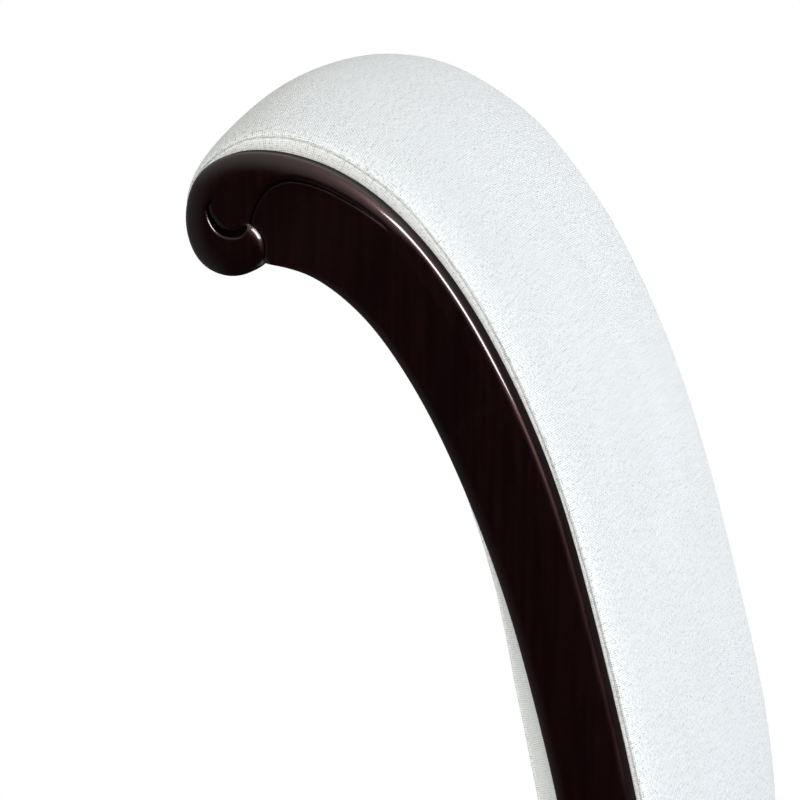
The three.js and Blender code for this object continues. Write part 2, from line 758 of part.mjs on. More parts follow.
function addSeat() {
  const boardTop = boardBottom + boardThickness;
  const holes = Object.values(blockCorners).flatMap((frame) => {
    const hole = blockScrews(frame, clearance).seat;
    return [hole, mirrored(hole)];
  });
  const board = ringed(
    seatMiddle(boardBottom),
    [seatRing(boardInset + boardEdge, boardBottom), seatRing(boardInset, boardBottom + boardEdge),
      seatRing(boardInset, boardTop - boardEdge), seatRing(boardInset + boardEdge, boardTop)],
    seatMiddle(boardTop));
  addPart('seat_board', combine([board], holes), 'plywood');

  const skin = clothThickness + clearance;
  const foamBottom = boardTop + clearance;
  const foam = seatSection(skin).map(([inset, z]) => seatRing(inset, z));
  foam.push(seatRing(seatDrawIn + skin, foamBottom));
  addPart('seat_foam', ringed(
    seatMiddle(seatEdgeTop + seatCrown - skin), foam, seatMiddle(foamBottom)), 'foam');

  const under = boardBottom - clearance;
  const outer = [
    ...seatSection(0), [0, boardTop], [0, under + clothThickness],
    [boardEdge, under - clothThickness], [boardEdge + seatTurnUnder, under - clothThickness],
  ];
  const inner = [
    ...seatSection(clothThickness), [clothThickness, boardTop], [clothThickness, under + clothThickness],
    [clothThickness + boardEdge, under], [boardEdge + seatTurnUnder, under],
  ];
  addPart('seat_cover', ringed(
    seatMiddle(seatEdgeTop + seatCrown),
    [...outer, ...inner.reverse()].map(([inset, z]) => seatRing(inset, z)),
    seatMiddle(seatEdgeTop + seatCrown - clothThickness)), 'linen');

  const dustTop = under - clothThickness - clearance;
  const dustHeights = [dustTop - dustThickness, dustTop];
  const dust = ringed(
    seatMiddle(dustHeights[0]), dustHeights.map((z) => seatRing(dustInset, z)), seatMiddle(dustHeights[1]));
  addPart('seat_dust_cover', combine([dust], holes), 'cambric');
}

// Rows of a pad: each point of its line, its unit direction outward and its share of the line.
function padRowsOf(line) {
  const outward = offsetLine(line, 1);
  return line.map((point, i) => ({
    point, out: [outward[i][0] - point[0], outward[i][1] - point[1]], share: i / (line.length - 1),
  }));
}

function columnShares() {
  return Array.from({ length: padColumns + 1 }, (_, j) => Math.sin((Math.PI / 2) * ((2 * j) / padColumns - 1)));
}

// Surface of the pad: its seam line pushed out by the crown, bowed back and arched up between the sides.
function padSurface(skin) {
  return padRowsOf(atStile(seamLine)).map(({ point, out, share }) => {
    const rise = THREE.MathUtils.smoothstep(share, 0, padStartShare);
    const fall = THREE.MathUtils.smoothstep(1 - share, 0, padEndShare);
    const top = 1 - THREE.MathUtils.smoothstep(Math.abs(share - padTopShare), 0, padTopReachShare);
    return columnShares().map((side) => {
      const full = 1 - Math.abs(side) ** padCrownPower;
      const round = 1 - side * side;
      const lift = padCrown * rise * fall * full - skin;
      const q = point[0] + out[0] * lift - (padBow * rise * fall + padLean * top) * round;
      const z = point[1] + out[1] * lift + padArch * round * top;
      return { side, q, z, edge: point[0] };
    });
  });
}

function asPoints(surface, w) {
  return surface.map((row) => row.map(({ side, q, z, edge }) => {
    const p = worldPoint(side, edge, z, w);
    return new THREE.Vector3(p.x, datumToCentre - q, z);
  }));
}

// Inner side of the padding: round the roll's core, then down the panel's face.
function padInnerLine() {
  const radius = rollCoreRadius + 3 * clearance;
  const round = Array.from({ length: coreSteps + 1 }, (_, i) => {
    const angle = coreTurnStart + ((coreTurnEnd - coreTurnStart) * i) / coreSteps;
    return [rollAxis[0] + radius * Math.cos(angle), rollAxis[1] + radius * Math.sin(angle)];
  });
  return [...round, ...offsetLine(panelLine, 2 * clearance)];
}

function addBackPad() {
  const boxingInner = stileThickness + clearance + clothThickness + clearance;
  const innerPoints = padInnerLine().map(([q, z]) => (
    columnShares().map((side) => worldPoint(side, q, z, boxingInner))));
  const foamSurface = padSurface(clothThickness + clearance);
  addPart('back_foam', slab(asPoints(foamSurface, boxingInner), innerPoints), 'foam');
  const w = stileThickness + clearance;
  addPart('back_inside_cover', slab(
    asPoints(padSurface(0), w), asPoints(padSurface(clothThickness), w)), 'linen');

  const outer = offsetLine(seamLine, -(clothThickness + clearance));
  const within = offsetLine(seamLine, -(clothThickness + clearance + boxingWidth));
  const keep = (_, i) => i > seamLine.length * boxingStartShare;
  const strip = [...outer.filter(keep), ...within.filter(keep).reverse()];
  addPair('back_boxing', plate(strip, w, w + clothThickness), 'linen');
}

function addOutsideCover() {
  const rows = padRowsOf(smoothLine(atStile(outsideBack), outsideRows));
  const surface = (skin, sideSkin) => rows.map(({ point, out, share }) => columnShares().map((side, j) => {
    const atSide = j === 0 || j === padColumns;
    const lift = -outsideCrown * Math.sin(Math.PI * share) * (1 - side * side) + (atSide ? sideSkin : skin);
    return { side, q: point[0] + out[0] * lift, z: point[1] + out[1] * lift, edge: point[0] };
  }));
  const w = stileThickness + clearance;
  addPart('back_outside_cover', slab(
    asPoints(surface(0, 0), w), asPoints(surface(clothThickness, outsideReturn), w)), 'linen');
}

function addBackFrame() {
  const core = across(circle(rollAxis, rollCoreRadius, rollSteps), stileThickness + clearance);
  addPart('back_roll_core', combine([core, spigot()]), 'beech');
  const panel = [...panelLine, ...offsetLine(panelLine, -panelThickness).reverse()];
  addPart('back_panel', across(panel, stileThickness + clearance), 'plywood');
  for (const [name, share] of [['upper', upperCrossShare], ['lower', lowerCrossShare]]) {
    const bar = crossRailLine(share, crossRailWidth, crossRailThickness);
    const tenon = crossRailLine(share, crossTenonWidth, crossTenonThickness);
    addPart(`back_rail_${name}`, combine([
      across(bar, stileThickness + clearance), across(tenon, stileThickness - crossTenonLength),
    ]), 'beech');
  }
}

addRearLegs();
addFrontLegs();
addSideRails();
addCrossRail('front_rail', frontRailFace, frontRailBack, frontTenonBack, blockCorners.front);
addCrossRail('rear_rail', rearRailFace, rearRailBack, rearTenonBack, blockCorners.rear);
addScrewsAndBlocks();
addGlides();
addSeat();
addBackFrame();
addBackPad();
addOutsideCover();

export default chair;
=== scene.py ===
"""Looks of the klismos dining chair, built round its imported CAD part. Metres, +Z up, the sitter faces -Y."""
import math

import bmesh
import bpy
import numpy as np
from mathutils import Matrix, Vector


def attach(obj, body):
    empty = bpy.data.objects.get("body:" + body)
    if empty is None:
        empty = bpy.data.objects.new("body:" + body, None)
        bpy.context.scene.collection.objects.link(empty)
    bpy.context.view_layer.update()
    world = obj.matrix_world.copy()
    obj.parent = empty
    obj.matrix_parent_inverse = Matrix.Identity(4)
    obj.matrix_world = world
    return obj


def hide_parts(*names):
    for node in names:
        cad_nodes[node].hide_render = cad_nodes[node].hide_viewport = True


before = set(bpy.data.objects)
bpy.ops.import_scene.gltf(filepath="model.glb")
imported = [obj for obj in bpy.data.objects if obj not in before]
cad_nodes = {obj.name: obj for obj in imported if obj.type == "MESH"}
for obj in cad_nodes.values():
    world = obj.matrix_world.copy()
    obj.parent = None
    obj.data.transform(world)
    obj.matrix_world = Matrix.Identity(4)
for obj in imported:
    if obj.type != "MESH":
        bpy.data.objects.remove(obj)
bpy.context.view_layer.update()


# Studio
# Long lens at the photograph's viewing angle, and a pale floor that fades into the white world. Soft
# light comes from all round, from a box on the camera's side and from a cooler one ahead. Dark cloth
# and a bright window are there for mirror reflections alone.

CAMERA_AT = (-3.5371, -0.3719, 1.2191)
CAMERA_LOOKS = (0.97416, 0.18055, -0.13572)
CAMERA_LENS = 306.0
FLOOR_RADIUS = 2.4
CLOTH_RADIUS = 4.6


def linked(name, data):
    """New object of this data in the scene."""
    made = bpy.data.objects.new(name, data)
    bpy.context.scene.collection.objects.link(made)
    return made


def linear(red, green, blue):
    """Linear colour of an sRGB colour given from 0 to 255."""
    srgb = np.array([red, green, blue]) / 255
    value = np.where(srgb <= 0.04045, srgb / 12.92, ((srgb + 0.055) / 1.055) ** 2.4)
    return (*value, 1.0)


def add_camera():
    """The long lens, turned to look along its direction with the picture upright."""
    camera = bpy.data.cameras.new("camera")
    camera.lens = CAMERA_LENS
    camera.sensor_width = 36
    camera.clip_end = 100
    made = linked("camera", camera)
    made.location = CAMERA_AT
    made.rotation_euler = Vector(CAMERA_LOOKS).to_track_quat("-Z", "Y").to_euler()
    bpy.context.scene.camera = made


def add_world():
    """Soft warm-white light, seen as white by the camera, by mirrors and through glass."""
    world = bpy.data.worlds.new("world")
    bpy.context.scene.world = world
    world.use_nodes = True
    tree = world.node_tree
    tree.nodes.clear()
    path = tree.nodes.new("ShaderNodeLightPath")
    seen = tree.nodes.new("ShaderNodeMath")
    seen.operation = "MAXIMUM"
    seen_through = tree.nodes.new("ShaderNodeMath")
    seen_through.operation = "MAXIMUM"
    soft = tree.nodes.new("ShaderNodeBackground")
    soft.inputs["Color"].default_value = (1.0, 0.995, 0.955, 1)
    soft.inputs["Strength"].default_value = 0.65
    white = tree.nodes.new("ShaderNodeBackground")
    white.inputs["Color"].default_value = (1, 1, 1, 1)
    mix = tree.nodes.new("ShaderNodeMixShader")
    out = tree.nodes.new("ShaderNodeOutputWorld")
    tree.links.new(path.outputs["Is Camera Ray"], seen.inputs[0])
    tree.links.new(path.outputs["Is Glossy Ray"], seen.inputs[1])
    tree.links.new(seen.outputs[0], seen_through.inputs[0])
    tree.links.new(path.outputs["Is Transmission Ray"], seen_through.inputs[1])
    tree.links.new(seen_through.outputs[0], mix.inputs["Fac"])
    tree.links.new(soft.outputs[0], mix.inputs[1])
    tree.links.new(white.outputs[0], mix.inputs[2])
    tree.links.new(mix.outputs[0], out.inputs["Surface"])


def faded_paint(name, colour, fades):
    """Matt paint whose opacity is a product of eased steps.

    Each fade is a measure of the object's own coordinates, a vector for it, the two values of the
    measure between which it eases, and its opacity at each.
    """
    paint = bpy.data.materials.new(name)
    paint.use_nodes = True
    tree = paint.node_tree
    shader = tree.nodes["Principled BSDF"]
    shader.inputs["Base Color"].default_value = colour
    shader.inputs["Roughness"].default_value = 1
    shader.inputs["Specular IOR Level"].default_value = 0
    place = tree.nodes.new("ShaderNodeTexCoord")
    opacity = None
    for measure, vector, low, high, opacity_low, opacity_high in fades:
        taken = tree.nodes.new("ShaderNodeVectorMath")
        taken.operation = measure
        taken.inputs[1].default_value = vector
        fade = tree.nodes.new("ShaderNodeMapRange")
        fade.interpolation_type = "SMOOTHSTEP"
        fade.inputs["From Min"].default_value = low
        fade.inputs["From Max"].default_value = high
        fade.inputs["To Min"].default_value = opacity_low
        fade.inputs["To Max"].default_value = opacity_high
        tree.links.new(place.outputs["Object"], taken.inputs[0])
        tree.links.new(taken.outputs["Value"], fade.inputs["Value"])
        if opacity:
            product = tree.nodes.new("ShaderNodeMath")
            product.operation = "MULTIPLY"
            tree.links.new(opacity, product.inputs[0])
            tree.links.new(fade.outputs[0], product.inputs[1])
            opacity = product.outputs[0]
        else:
            opacity = fade.outputs[0]
    tree.links.new(opacity, shader.inputs["Alpha"])
    return paint


def add_floor():
    """Pale disc whose rim fades to nothing, so that no edge shows against the white world."""
    turn = np.linspace(0, 2 * math.pi, 96, endpoint=False)
    rim = np.column_stack([np.cos(turn), np.sin(turn), np.zeros_like(turn)]) * FLOOR_RADIUS
    mesh = bpy.data.meshes.new("floor")
    mesh.from_pydata(rim.tolist(), [], [list(range(len(turn)))])
    mesh.materials.append(faded_paint("floor_paint", linear(238, 238, 238), [
        ("LENGTH", (0, 0, 0), 1.1, FLOOR_RADIUS - 0.1, 1, 0)]))
    floor = linked("floor", mesh)
    floor.visible_glossy = False


def grid_faces(rows, columns, closed=False):
    """Quads of a grid of points laid row after row, each row a ring if the grid is closed."""
    index = np.arange(rows * columns).reshape(rows, columns)
    if closed:
        index = np.concatenate([index, index[:, :1]], axis=1)
    quads = np.stack([index[:-1, :-1], index[:-1, 1:], index[1:, 1:], index[1:, :-1]], axis=-1)
    return quads.reshape(-1, 4)


def add_dark_cloth():
    """Dark cloth round and under the set that only mirror reflections see.

    A sphere, each point at its longitude and latitude. It is blackest behind the camera, and thins
    out overhead and behind the chair.
    """
    around = np.linspace(0, 2 * math.pi, 49)
    up = np.linspace(-math.pi / 2, math.pi / 2, 25)
    turn, rise = np.meshgrid(around, up)
    points = CLOTH_RADIUS * np.stack([
        np.cos(turn) * np.cos(rise), np.sin(turn) * np.cos(rise), np.sin(rise)], axis=-1)
    mesh = bpy.data.meshes.new("dark_cloth")
    mesh.from_pydata(points.reshape(-1, 3).tolist(), [], grid_faces(*points.shape[:2]).tolist())
    behind_camera, behind_chair, overhead = (
        tuple(part / CLOTH_RADIUS for part in way) for way in ((-0.97, 0.18, -0.14), (0, 1, 0), (0, 0, 1)))
    mesh.materials.append(faded_paint("dark_cloth_paint", (0.008, 0.003, 0.005, 1), [
        ("DOT_PRODUCT", behind_camera, 0.1, 0.8, 0.985, 0.997),
        ("DOT_PRODUCT", behind_chair, 0.3, 0.95, 1, 0.78),
        ("DOT_PRODUCT", overhead, 0.3, 0.95, 1, 0.25)]))
    cloth = linked("dark_cloth", mesh)
    cloth.visible_camera = False
    cloth.visible_diffuse = False
    cloth.visible_shadow = False
    cloth.visible_transmission = False


def add_lamp(name, place, aim, size, size_y, power, colour):
    """Rectangular lamp at a place, turned towards its aim."""
    lamp = bpy.data.lights.new(name, "AREA")
    lamp.shape = "RECTANGLE"
    lamp.size = size
    lamp.size_y = size_y
    lamp.energy = power
    lamp.color = colour
    made = linked(name, lamp)
    made.location = place
    made.rotation_euler = (Vector(aim) - Vector(place)).to_track_quat("-Z", "Y").to_euler()
    return made


add_camera()
add_world()
add_floor()
add_dark_cloth()
front_box = add_lamp("front_box", (0.4, -3.0, 1.9), (0, 0.1, 0.75), 1.6, 1.2, 61, (0.83, 0.87, 1.0))
side_box = add_lamp("side_box", (-3.1, -0.25, 1.2), (0, 0.1, 0.7), 2.4, 2.4, 56, (1.0, 0.99, 0.96))
front_box.visible_glossy = side_box.visible_glossy = False
window = add_lamp("window", (-0.9, -1.55, 2.38), (-0.22, 0.24, 0.8), 1.3, 1.5, 190, (0.86, 0.93, 1.0))
window.visible_diffuse = False
window.visible_transmission = False
bpy.context.scene.view_settings.view_transform = "Standard"


# Rear legs with scroll stiles
# Solid mahogany, sawn to the sabre curve and carved on the outer face: a rolled band turns round the
# scroll into the lobe, its tongue hangs over the sunk field, and a crescent is cut between the two.
# Stained nearly black and lacquered to a gloss.

SPLAY = math.radians(2.5)
HALF_WIDTH = 230.8
DATUM = 109.1
STILE_DEPTH = 20.0
LEG_DEPTH = 28.0
STEP_AT = 447.0  # the leg is thicker below this height, under the seat
STEP_RUN = 0.5
FOOT_AT = 4.3
LEG_TOP = 385.0
LEG_WIDTH = 41.0
REAR_TOE = -160.0
REAR_HEEL = -202.0
RELIEF = 3.5  # of the band and the lobe over the sunk field
VALLEY = 0.9  # more depth right beside them
CUT_DEPTH = 4.6
INNER_ARRIS = 3.6
EDGE_ROLL = (3.4, 3.0)  # width and drop of the outer edge's round, down the stile and round the head
HEAD_ROLL = (12.5, 7.0)
BAND_ROLL = 4.6
LOBE_ROLL = 5.5
REAR_ROLL = (7.5, 2.6)
TONGUE_ROLL = (3.0, 1.3)
CUT_ROLL = (1.8, 1.1)
OUTER_SAG = (15.0, 1.3)  # width and drop of the slight fall towards the stile's outer edge
ROUND_GROWS = [(-120, 830), (-163, 868)]  # from the stile's round to the head's
BAND_FADE = 22.0  # length in which the groove dies away
DISH = 0.35
BRIM = 1.2  # drop of the crescent's brim
CUT_START = 8.0  # distance in which the cut deepens from its point
VALLEY_REACH = (1.5, 1.3)  # width of the valley beside the band and beside the lobe
NECK = (-179, 874.6)  # on the outline, where the rows start to fan out round the scroll
TURNED = (-212.5, 820)  # and where they have turned round it
SWEEP_STEPS = 46
STILE_STEPS = 190
STILE_CROWDING = 1.35  # the rows lie closer towards the neck
NECK_STEPS = 36
SCROLL_STEPS = 240
LOW_STEPS = 400  # fine points at the foot end of the outlines, more than reach to the seat
FRONT_EDGE = [
    (-4.1, 490), (-13.5, 550), (-27.9, 613.1), (-40.4, 661.7), (-54.9, 710.2), (-74.9, 758.4),
    (-101.5, 806), (-129.6, 841.4), (-158.1, 864.8), (-183.4, 876.1),
]
SCROLL = [
    (-206.6, 880), (-224.4, 877.4), (-238.2, 867.8), (-244.4, 853.4), (-244.2, 837.8), (-236.2, 822.6),
    (-220.8, 816.9), (-209, 820.5),
]
NOTCH = (-204.1, 824.4)
REAR_EDGE = [
    (-191.5, 822), (-178.7, 817.9), (-154.5, 800.4), (-135.1, 776.8), (-117.1, 747.1), (-95, 699.3),
    (-77.5, 651.3), (-63.9, 603.1), (-48.9, 537), (-42.5, 480),
]
LOBE_GROOVE = [
    (-204.1, 824.4), (-203.5, 828.3), (-203.6, 832.4), (-204.4, 836.4), (-206.2, 839.9), (-210.9, 844.5),
]
BAND_GROOVE = [
    (-210.9, 844.5), (-209.8, 848.8), (-208, 853.4), (-205.4, 857.7), (-201.8, 861.9), (-196.6, 864.7),
    (-190.4, 866.1), (-179.6, 864.6), (-171.4, 861.8), (-163.2, 858), (-155, 853.7), (-146.8, 848.6),
    (-139.1, 842.8), (-131, 836.2),
]
FIELD_END = (-171, 804.6)
CRESCENT_TONGUE = [
    (-229.2, 856.4), (-231.3, 853.3), (-231.5, 850.3), (-229.7, 846.6), (-226.6, 843.1), (-222.8, 840.9),
    (-218.4, 840.6), (-214.6, 842.1), (-210.9, 844.5),
]
CRESCENT_LOBE = [
    (-229.2, 856.4), (-231.9, 853.8), (-232.6, 850), (-231.3, 845.3), (-228.5, 840.8), (-224.6, 838.1),
    (-220.2, 837.2), (-215.8, 837.8), (-213, 840.2), (-210.9, 844.5),
]


def spline(points, spacing=None, count=None):
    """Natural cubic spline through the points by their distance apart, as points evenly spaced on it."""
    p = np.asarray(points, float)
    knots = np.concatenate([[0], np.cumsum(np.linalg.norm(np.diff(p, axis=0), axis=1) ** 0.7)])
    h = np.diff(knots)
    n = len(p)
    system = np.eye(n)
    right = np.zeros_like(p)
    i = np.arange(1, n - 1)
    system[i, i - 1], system[i, i], system[i, i + 1] = h[:-1] / 6, (h[:-1] + h[1:]) / 3, h[1:] / 6
    right[1:-1] = np.diff(np.diff(p, axis=0) / h[:, None], axis=0)
    bend = np.linalg.solve(system, right)
    t = np.linspace(0, knots[-1], 60 * n)
    k = np.clip(np.searchsorted(knots, t, "right") - 1, 0, n - 2)
    a = ((knots[k + 1] - t) / h[k])[:, None]
    b = ((t - knots[k]) / h[k])[:, None]
    pull = ((a ** 3 - a) * bend[k] + (b ** 3 - b) * bend[k + 1]) * (h[k] ** 2)[:, None] / 6
    curve = a * p[k] + b * p[k + 1] + pull
    length = run_of(curve)
    count = count or max(2, round(length[-1] / spacing) + 1)
    return sampled(curve, np.linspace(0, length[-1], count))


def run_of(line):
    """Distance along a line at each of its points."""
    return np.concatenate([[0], np.cumsum(np.linalg.norm(np.diff(line, axis=0), axis=1))])


def sampled(line, run):
    """Points of a line at given distances along it."""
    length = run_of(line)
    return np.column_stack([np.interp(run, length, line[:, i]) for i in range(line.shape[1])])


def left_of(line, closed=False):
    """Unit directions to the left at a line's points, square to the way from one neighbour to the other."""
    ahead = np.roll(line, -1, axis=0) - np.roll(line, 1, axis=0) if closed else np.gradient(line, axis=0)
    ahead /= np.maximum(np.linalg.norm(ahead, axis=1), 1e-9)[:, None]
    return np.column_stack([-ahead[:, 1], ahead[:, 0]])


def nearest(points, line):
    """Distance from each point to a line of short segments, and how far along the line that lies."""
    start, step = line[:-1], np.diff(line, axis=0)
    long = np.maximum((step ** 2).sum(1), 1e-12)
    run = run_of(line)
    best = np.full(len(points), 1e9)
    where = np.zeros(len(points))
    for first in range(0, len(points), 4000):
        p = points[first:first + 4000, None, :]
        t = np.clip(((p - start) * step).sum(2) / long, 0, 1)
        away = np.linalg.norm(p - (start + t[..., None] * step), axis=2)
        i = away.argmin(1)
        rows = np.arange(len(i))
        best[first:first + 4000] = away[rows, i]
        where[first:first + 4000] = run[i] + t[rows, i] * np.sqrt(long[i])
    return best, where


def run_at(line, point):
    """How far along a line the point nearest to this one lies."""
    return nearest(np.array([point], float), line)[1][0]


def inside(points, outline):
    """Which points lie inside a closed outline, by counting its crossings to one side."""
    x, y = points[:, 0], points[:, 1]
    odd = np.zeros(len(points), bool)
    for (x0, y0), (x1, y1) in zip(outline, np.roll(outline, -1, axis=0)):
        if y0 != y1:
            crosses = (y0 > y) != (y1 > y)
            odd ^= crosses & (x < (x1 - x0) * (y - y0) / (y1 - y0) + x0)
    return odd


def roll(away, radius, drop):
    """Quarter of an ellipse: `drop` deep at an edge and nothing from `radius` inwards."""
    share = np.clip(1 - away / radius, 0, 1)
    return drop * (1 - np.sqrt(1 - share ** 2))


def smooth(share):
    """Eased step from 0 to 1: three times the square less twice the cube."""
    share = np.clip(share, 0, 1)
    return share * share * (3 - 2 * share)


def sweep(u_top, u_foot, count):
    """Arc of a leg's edge from the foot up to the rail, where it stands upright."""
    rise = LEG_TOP - FOOT_AT
    angle = 2 * math.atan(abs(u_foot - u_top) / rise)
    radius = rise / math.sin(angle)
    turn = np.linspace(angle, 0, count)
    way = math.copysign(1, u_foot - u_top)
    return np.column_stack([u_top + way * radius * (1 - np.cos(turn)), LEG_TOP - radius * np.sin(turn)])


def carved_depth(points, outer, rear):
    """Depth of the carved face below the frame's outer plane.

    The outline rolls over as an ellipse, wider round the head. Beside the band groove the field is
    sunk by the relief, which eases to nothing along the groove, and the band, the lobe and the
    crescent roll into their grooves by ellipses of their own. The field is dished a little, and is
    cut deeper in a narrow valley right beside the groove.
    """
    lobe = spline(LOBE_GROOVE, 0.4)
    band = spline(BAND_GROOVE, 0.4)
    end = band[-1]
    across = np.array(FIELD_END) - end
    across /= np.linalg.norm(across)
    downhill = np.array([-across[1], across[0]])
    groove_run = (end - band[0]) @ downhill
    fall = ((end - points) @ downhill) / groove_run
    sunk = RELIEF * smooth(fall)

    away_out, along_out = nearest(points, outer)
    away_rear, along_rear = nearest(points, rear)
    slim_until, full_from = (run_at(outer, place) for place in ROUND_GROWS)
    fuller = smooth((along_out - slim_until) / (full_from - slim_until))
    round_wide, round_drop = (
        down + (head - down) * fuller for down, head in zip(EDGE_ROLL, HEAD_ROLL))
    sag = OUTER_SAG[1] * (1 - smooth(away_out / OUTER_SAG[0])) * (1 - fuller)
    outer_roll = roll(away_out, round_wide, round_drop) + sag

    field = np.vstack([
        lobe, band[1:], end + 90 * downhill, end + 90 * downhill + 90 * across, end + 60 * across])
    in_field = inside(points, field)
    away_lobe, _ = nearest(points, lobe)
    away_band, along_band = nearest(points, band)
    band_length = run_of(band)[-1]
    fade = smooth((band_length - along_band) / BAND_FADE)
    beside = sampled(band, along_band)
    band_depth = RELIEF * smooth(((end - beside) @ downhill) / groove_run) + VALLEY * fade
    band_depth = np.where(along_band > band_length - 0.01, 0, band_depth)
    lobe_depth = sunk + VALLEY

    tongue_line = spline(CRESCENT_TONGUE, 0.3)
    lobe_line = spline(CRESCENT_LOBE, 0.3)
    away_tongue, _ = nearest(points, tongue_line)
    away_side, _ = nearest(points, lobe_line)
    in_cut = inside(points, np.vstack([tongue_line, lobe_line[::-1]]))
    # The cut starts from nothing at the crescent's point.
    start = smooth((np.linalg.norm(points - CRESCENT_LOBE[0], axis=1) - 1) / CUT_START)
    cut_roll = np.maximum(roll(away_tongue, *TONGUE_ROLL), roll(away_side, *CUT_ROLL)) * start

    proud = np.sqrt(
        outer_roll ** 2 + (roll(away_band, BAND_ROLL, 1.0) * band_depth) ** 2
        + (roll(away_lobe, LOBE_ROLL, 1.0) * lobe_depth) ** 2 + cut_roll ** 2)
    hole = BRIM + CUT_DEPTH * smooth(np.minimum(away_tongue, away_side) / 1.1) * start
    proud = np.where(in_cut, np.maximum(proud, hole), proud)

    dish = smooth(away_rear / 9) * smooth(away_out / 12)
    valley = roll(away_band, VALLEY_REACH[0], 1.1) * fade + roll(away_lobe, VALLEY_REACH[1], 1.0)
    sunk_field = np.maximum(sunk + DISH * dish * np.clip(1 - fall, 0, 1) + valley, outer_roll)
    rim = roll(away_rear, *REAR_ROLL) * smooth((along_rear + 2) / 14)
    return np.where(in_field, np.hypot(sunk_field, rim), np.hypot(proud, rim * (fall < 0.02)))


def to_world(points, depth, side):
    """Metres in the part's frame of points [u, z] in a side frame's plane, `depth` from its outer face."""
    u, z = points[..., 0], points[..., 1]
    x = HALF_WIDTH + u * math.sin(SPLAY) - depth * math.cos(SPLAY)
    y = DATUM - u * math.cos(SPLAY) - depth * math.sin(SPLAY)
    return np.stack(np.broadcast_arrays(side * x, y, z), axis=-1) / 1000


def body_mesh(name, points, faces, polygons=(), weld=0.0, sharp=38):
    """Closed mesh with its doubles merged, its faces turned outwards, smooth but for sharp edges."""
    mesh = bpy.data.meshes.new(name)
    mesh.from_pydata(points.tolist(), [], [*faces.tolist(), *(np.asarray(p).tolist() for p in polygons)])
    work = bmesh.new()
    work.from_mesh(mesh)
    if weld:
        bmesh.ops.remove_doubles(work, verts=work.verts, dist=weld)
    bmesh.ops.dissolve_degenerate(work, edges=work.edges, dist=1e-7)
    bmesh.ops.recalc_face_normals(work, faces=work.faces)
    work.to_mesh(mesh)
    work.free()
    mesh.shade_smooth()
    mesh.set_sharp_from_angle(angle=math.radians(sharp))
    return linked(name, mesh)


def rear_leg_rows():
    """Outer outline of the leg and the line that faces it, row by row from the foot to the notch.

    Past the neck the facing line runs up the lobe groove, waits at the tongue's tip while the outline
    goes round the scroll, and comes back down the groove, so that the grid turns like a fan.
    """
    heights = np.array([392, 402, 412, 422, 432, 440, 444.5, STEP_AT - STEP_RUN / 2, STEP_AT + STEP_RUN / 2])
    front = spline([(0, 380), (0, 405), (0, 430), *FRONT_EDGE, *SCROLL, NOTCH], 0.5)
    rear = spline([NOTCH, *REAR_EDGE, (-41, 430), (-41, 405), (-41, 380)], 0.5)
    front_run, rear_run = run_of(front), run_of(rear)
    front_at = np.interp(heights, front[:LOW_STEPS, 1], front_run[:LOW_STEPS])
    rear_at = rear_run[-1] - np.interp(heights, rear[:-LOW_STEPS - 1:-1, 1], rear_run[:LOW_STEPS])
    neck, turned = run_at(front, NECK), run_at(front, TURNED)
    share = 1 - (1 - np.linspace(0, 1, STILE_STEPS)[1:]) ** STILE_CROWDING
    groove = spline(LOBE_GROOVE, count=NECK_STEPS)
    head = np.concatenate([
        np.linspace(neck, neck + 14, NECK_STEPS)[1:], np.linspace(neck + 14, turned, SCROLL_STEPS)[1:],
        np.linspace(turned, front_run[-1], NECK_STEPS)[1:],
    ])
    outer = np.vstack([
        sweep(0, REAR_TOE, SWEEP_STEPS), sampled(front, front_at),
        sampled(front, front_at[-1] + (neck - front_at[-1]) * share), sampled(front, head),
    ])
    inner = np.vstack([
        sweep(-LEG_WIDTH, REAR_HEEL, SWEEP_STEPS), sampled(rear, rear_at),
        sampled(rear, rear_at[-1] * (1 - share)),
        groove[1:], np.repeat(groove[-1:], SCROLL_STEPS - 1, axis=0), groove[::-1][1:],
    ])
    notch_row = SWEEP_STEPS + len(heights) + len(share)
    outline = np.vstack([
        sweep(0, REAR_TOE, SWEEP_STEPS), sampled(front, np.arange(0, front_run[-1], 1.6)), [NOTCH]])
    back = np.vstack([
        sampled(rear, np.arange(0, rear_run[-1], 1.6)), sweep(-LEG_WIDTH, REAR_HEEL, SWEEP_STEPS)[::-1]])
    return outer, inner, notch_row, outline, back


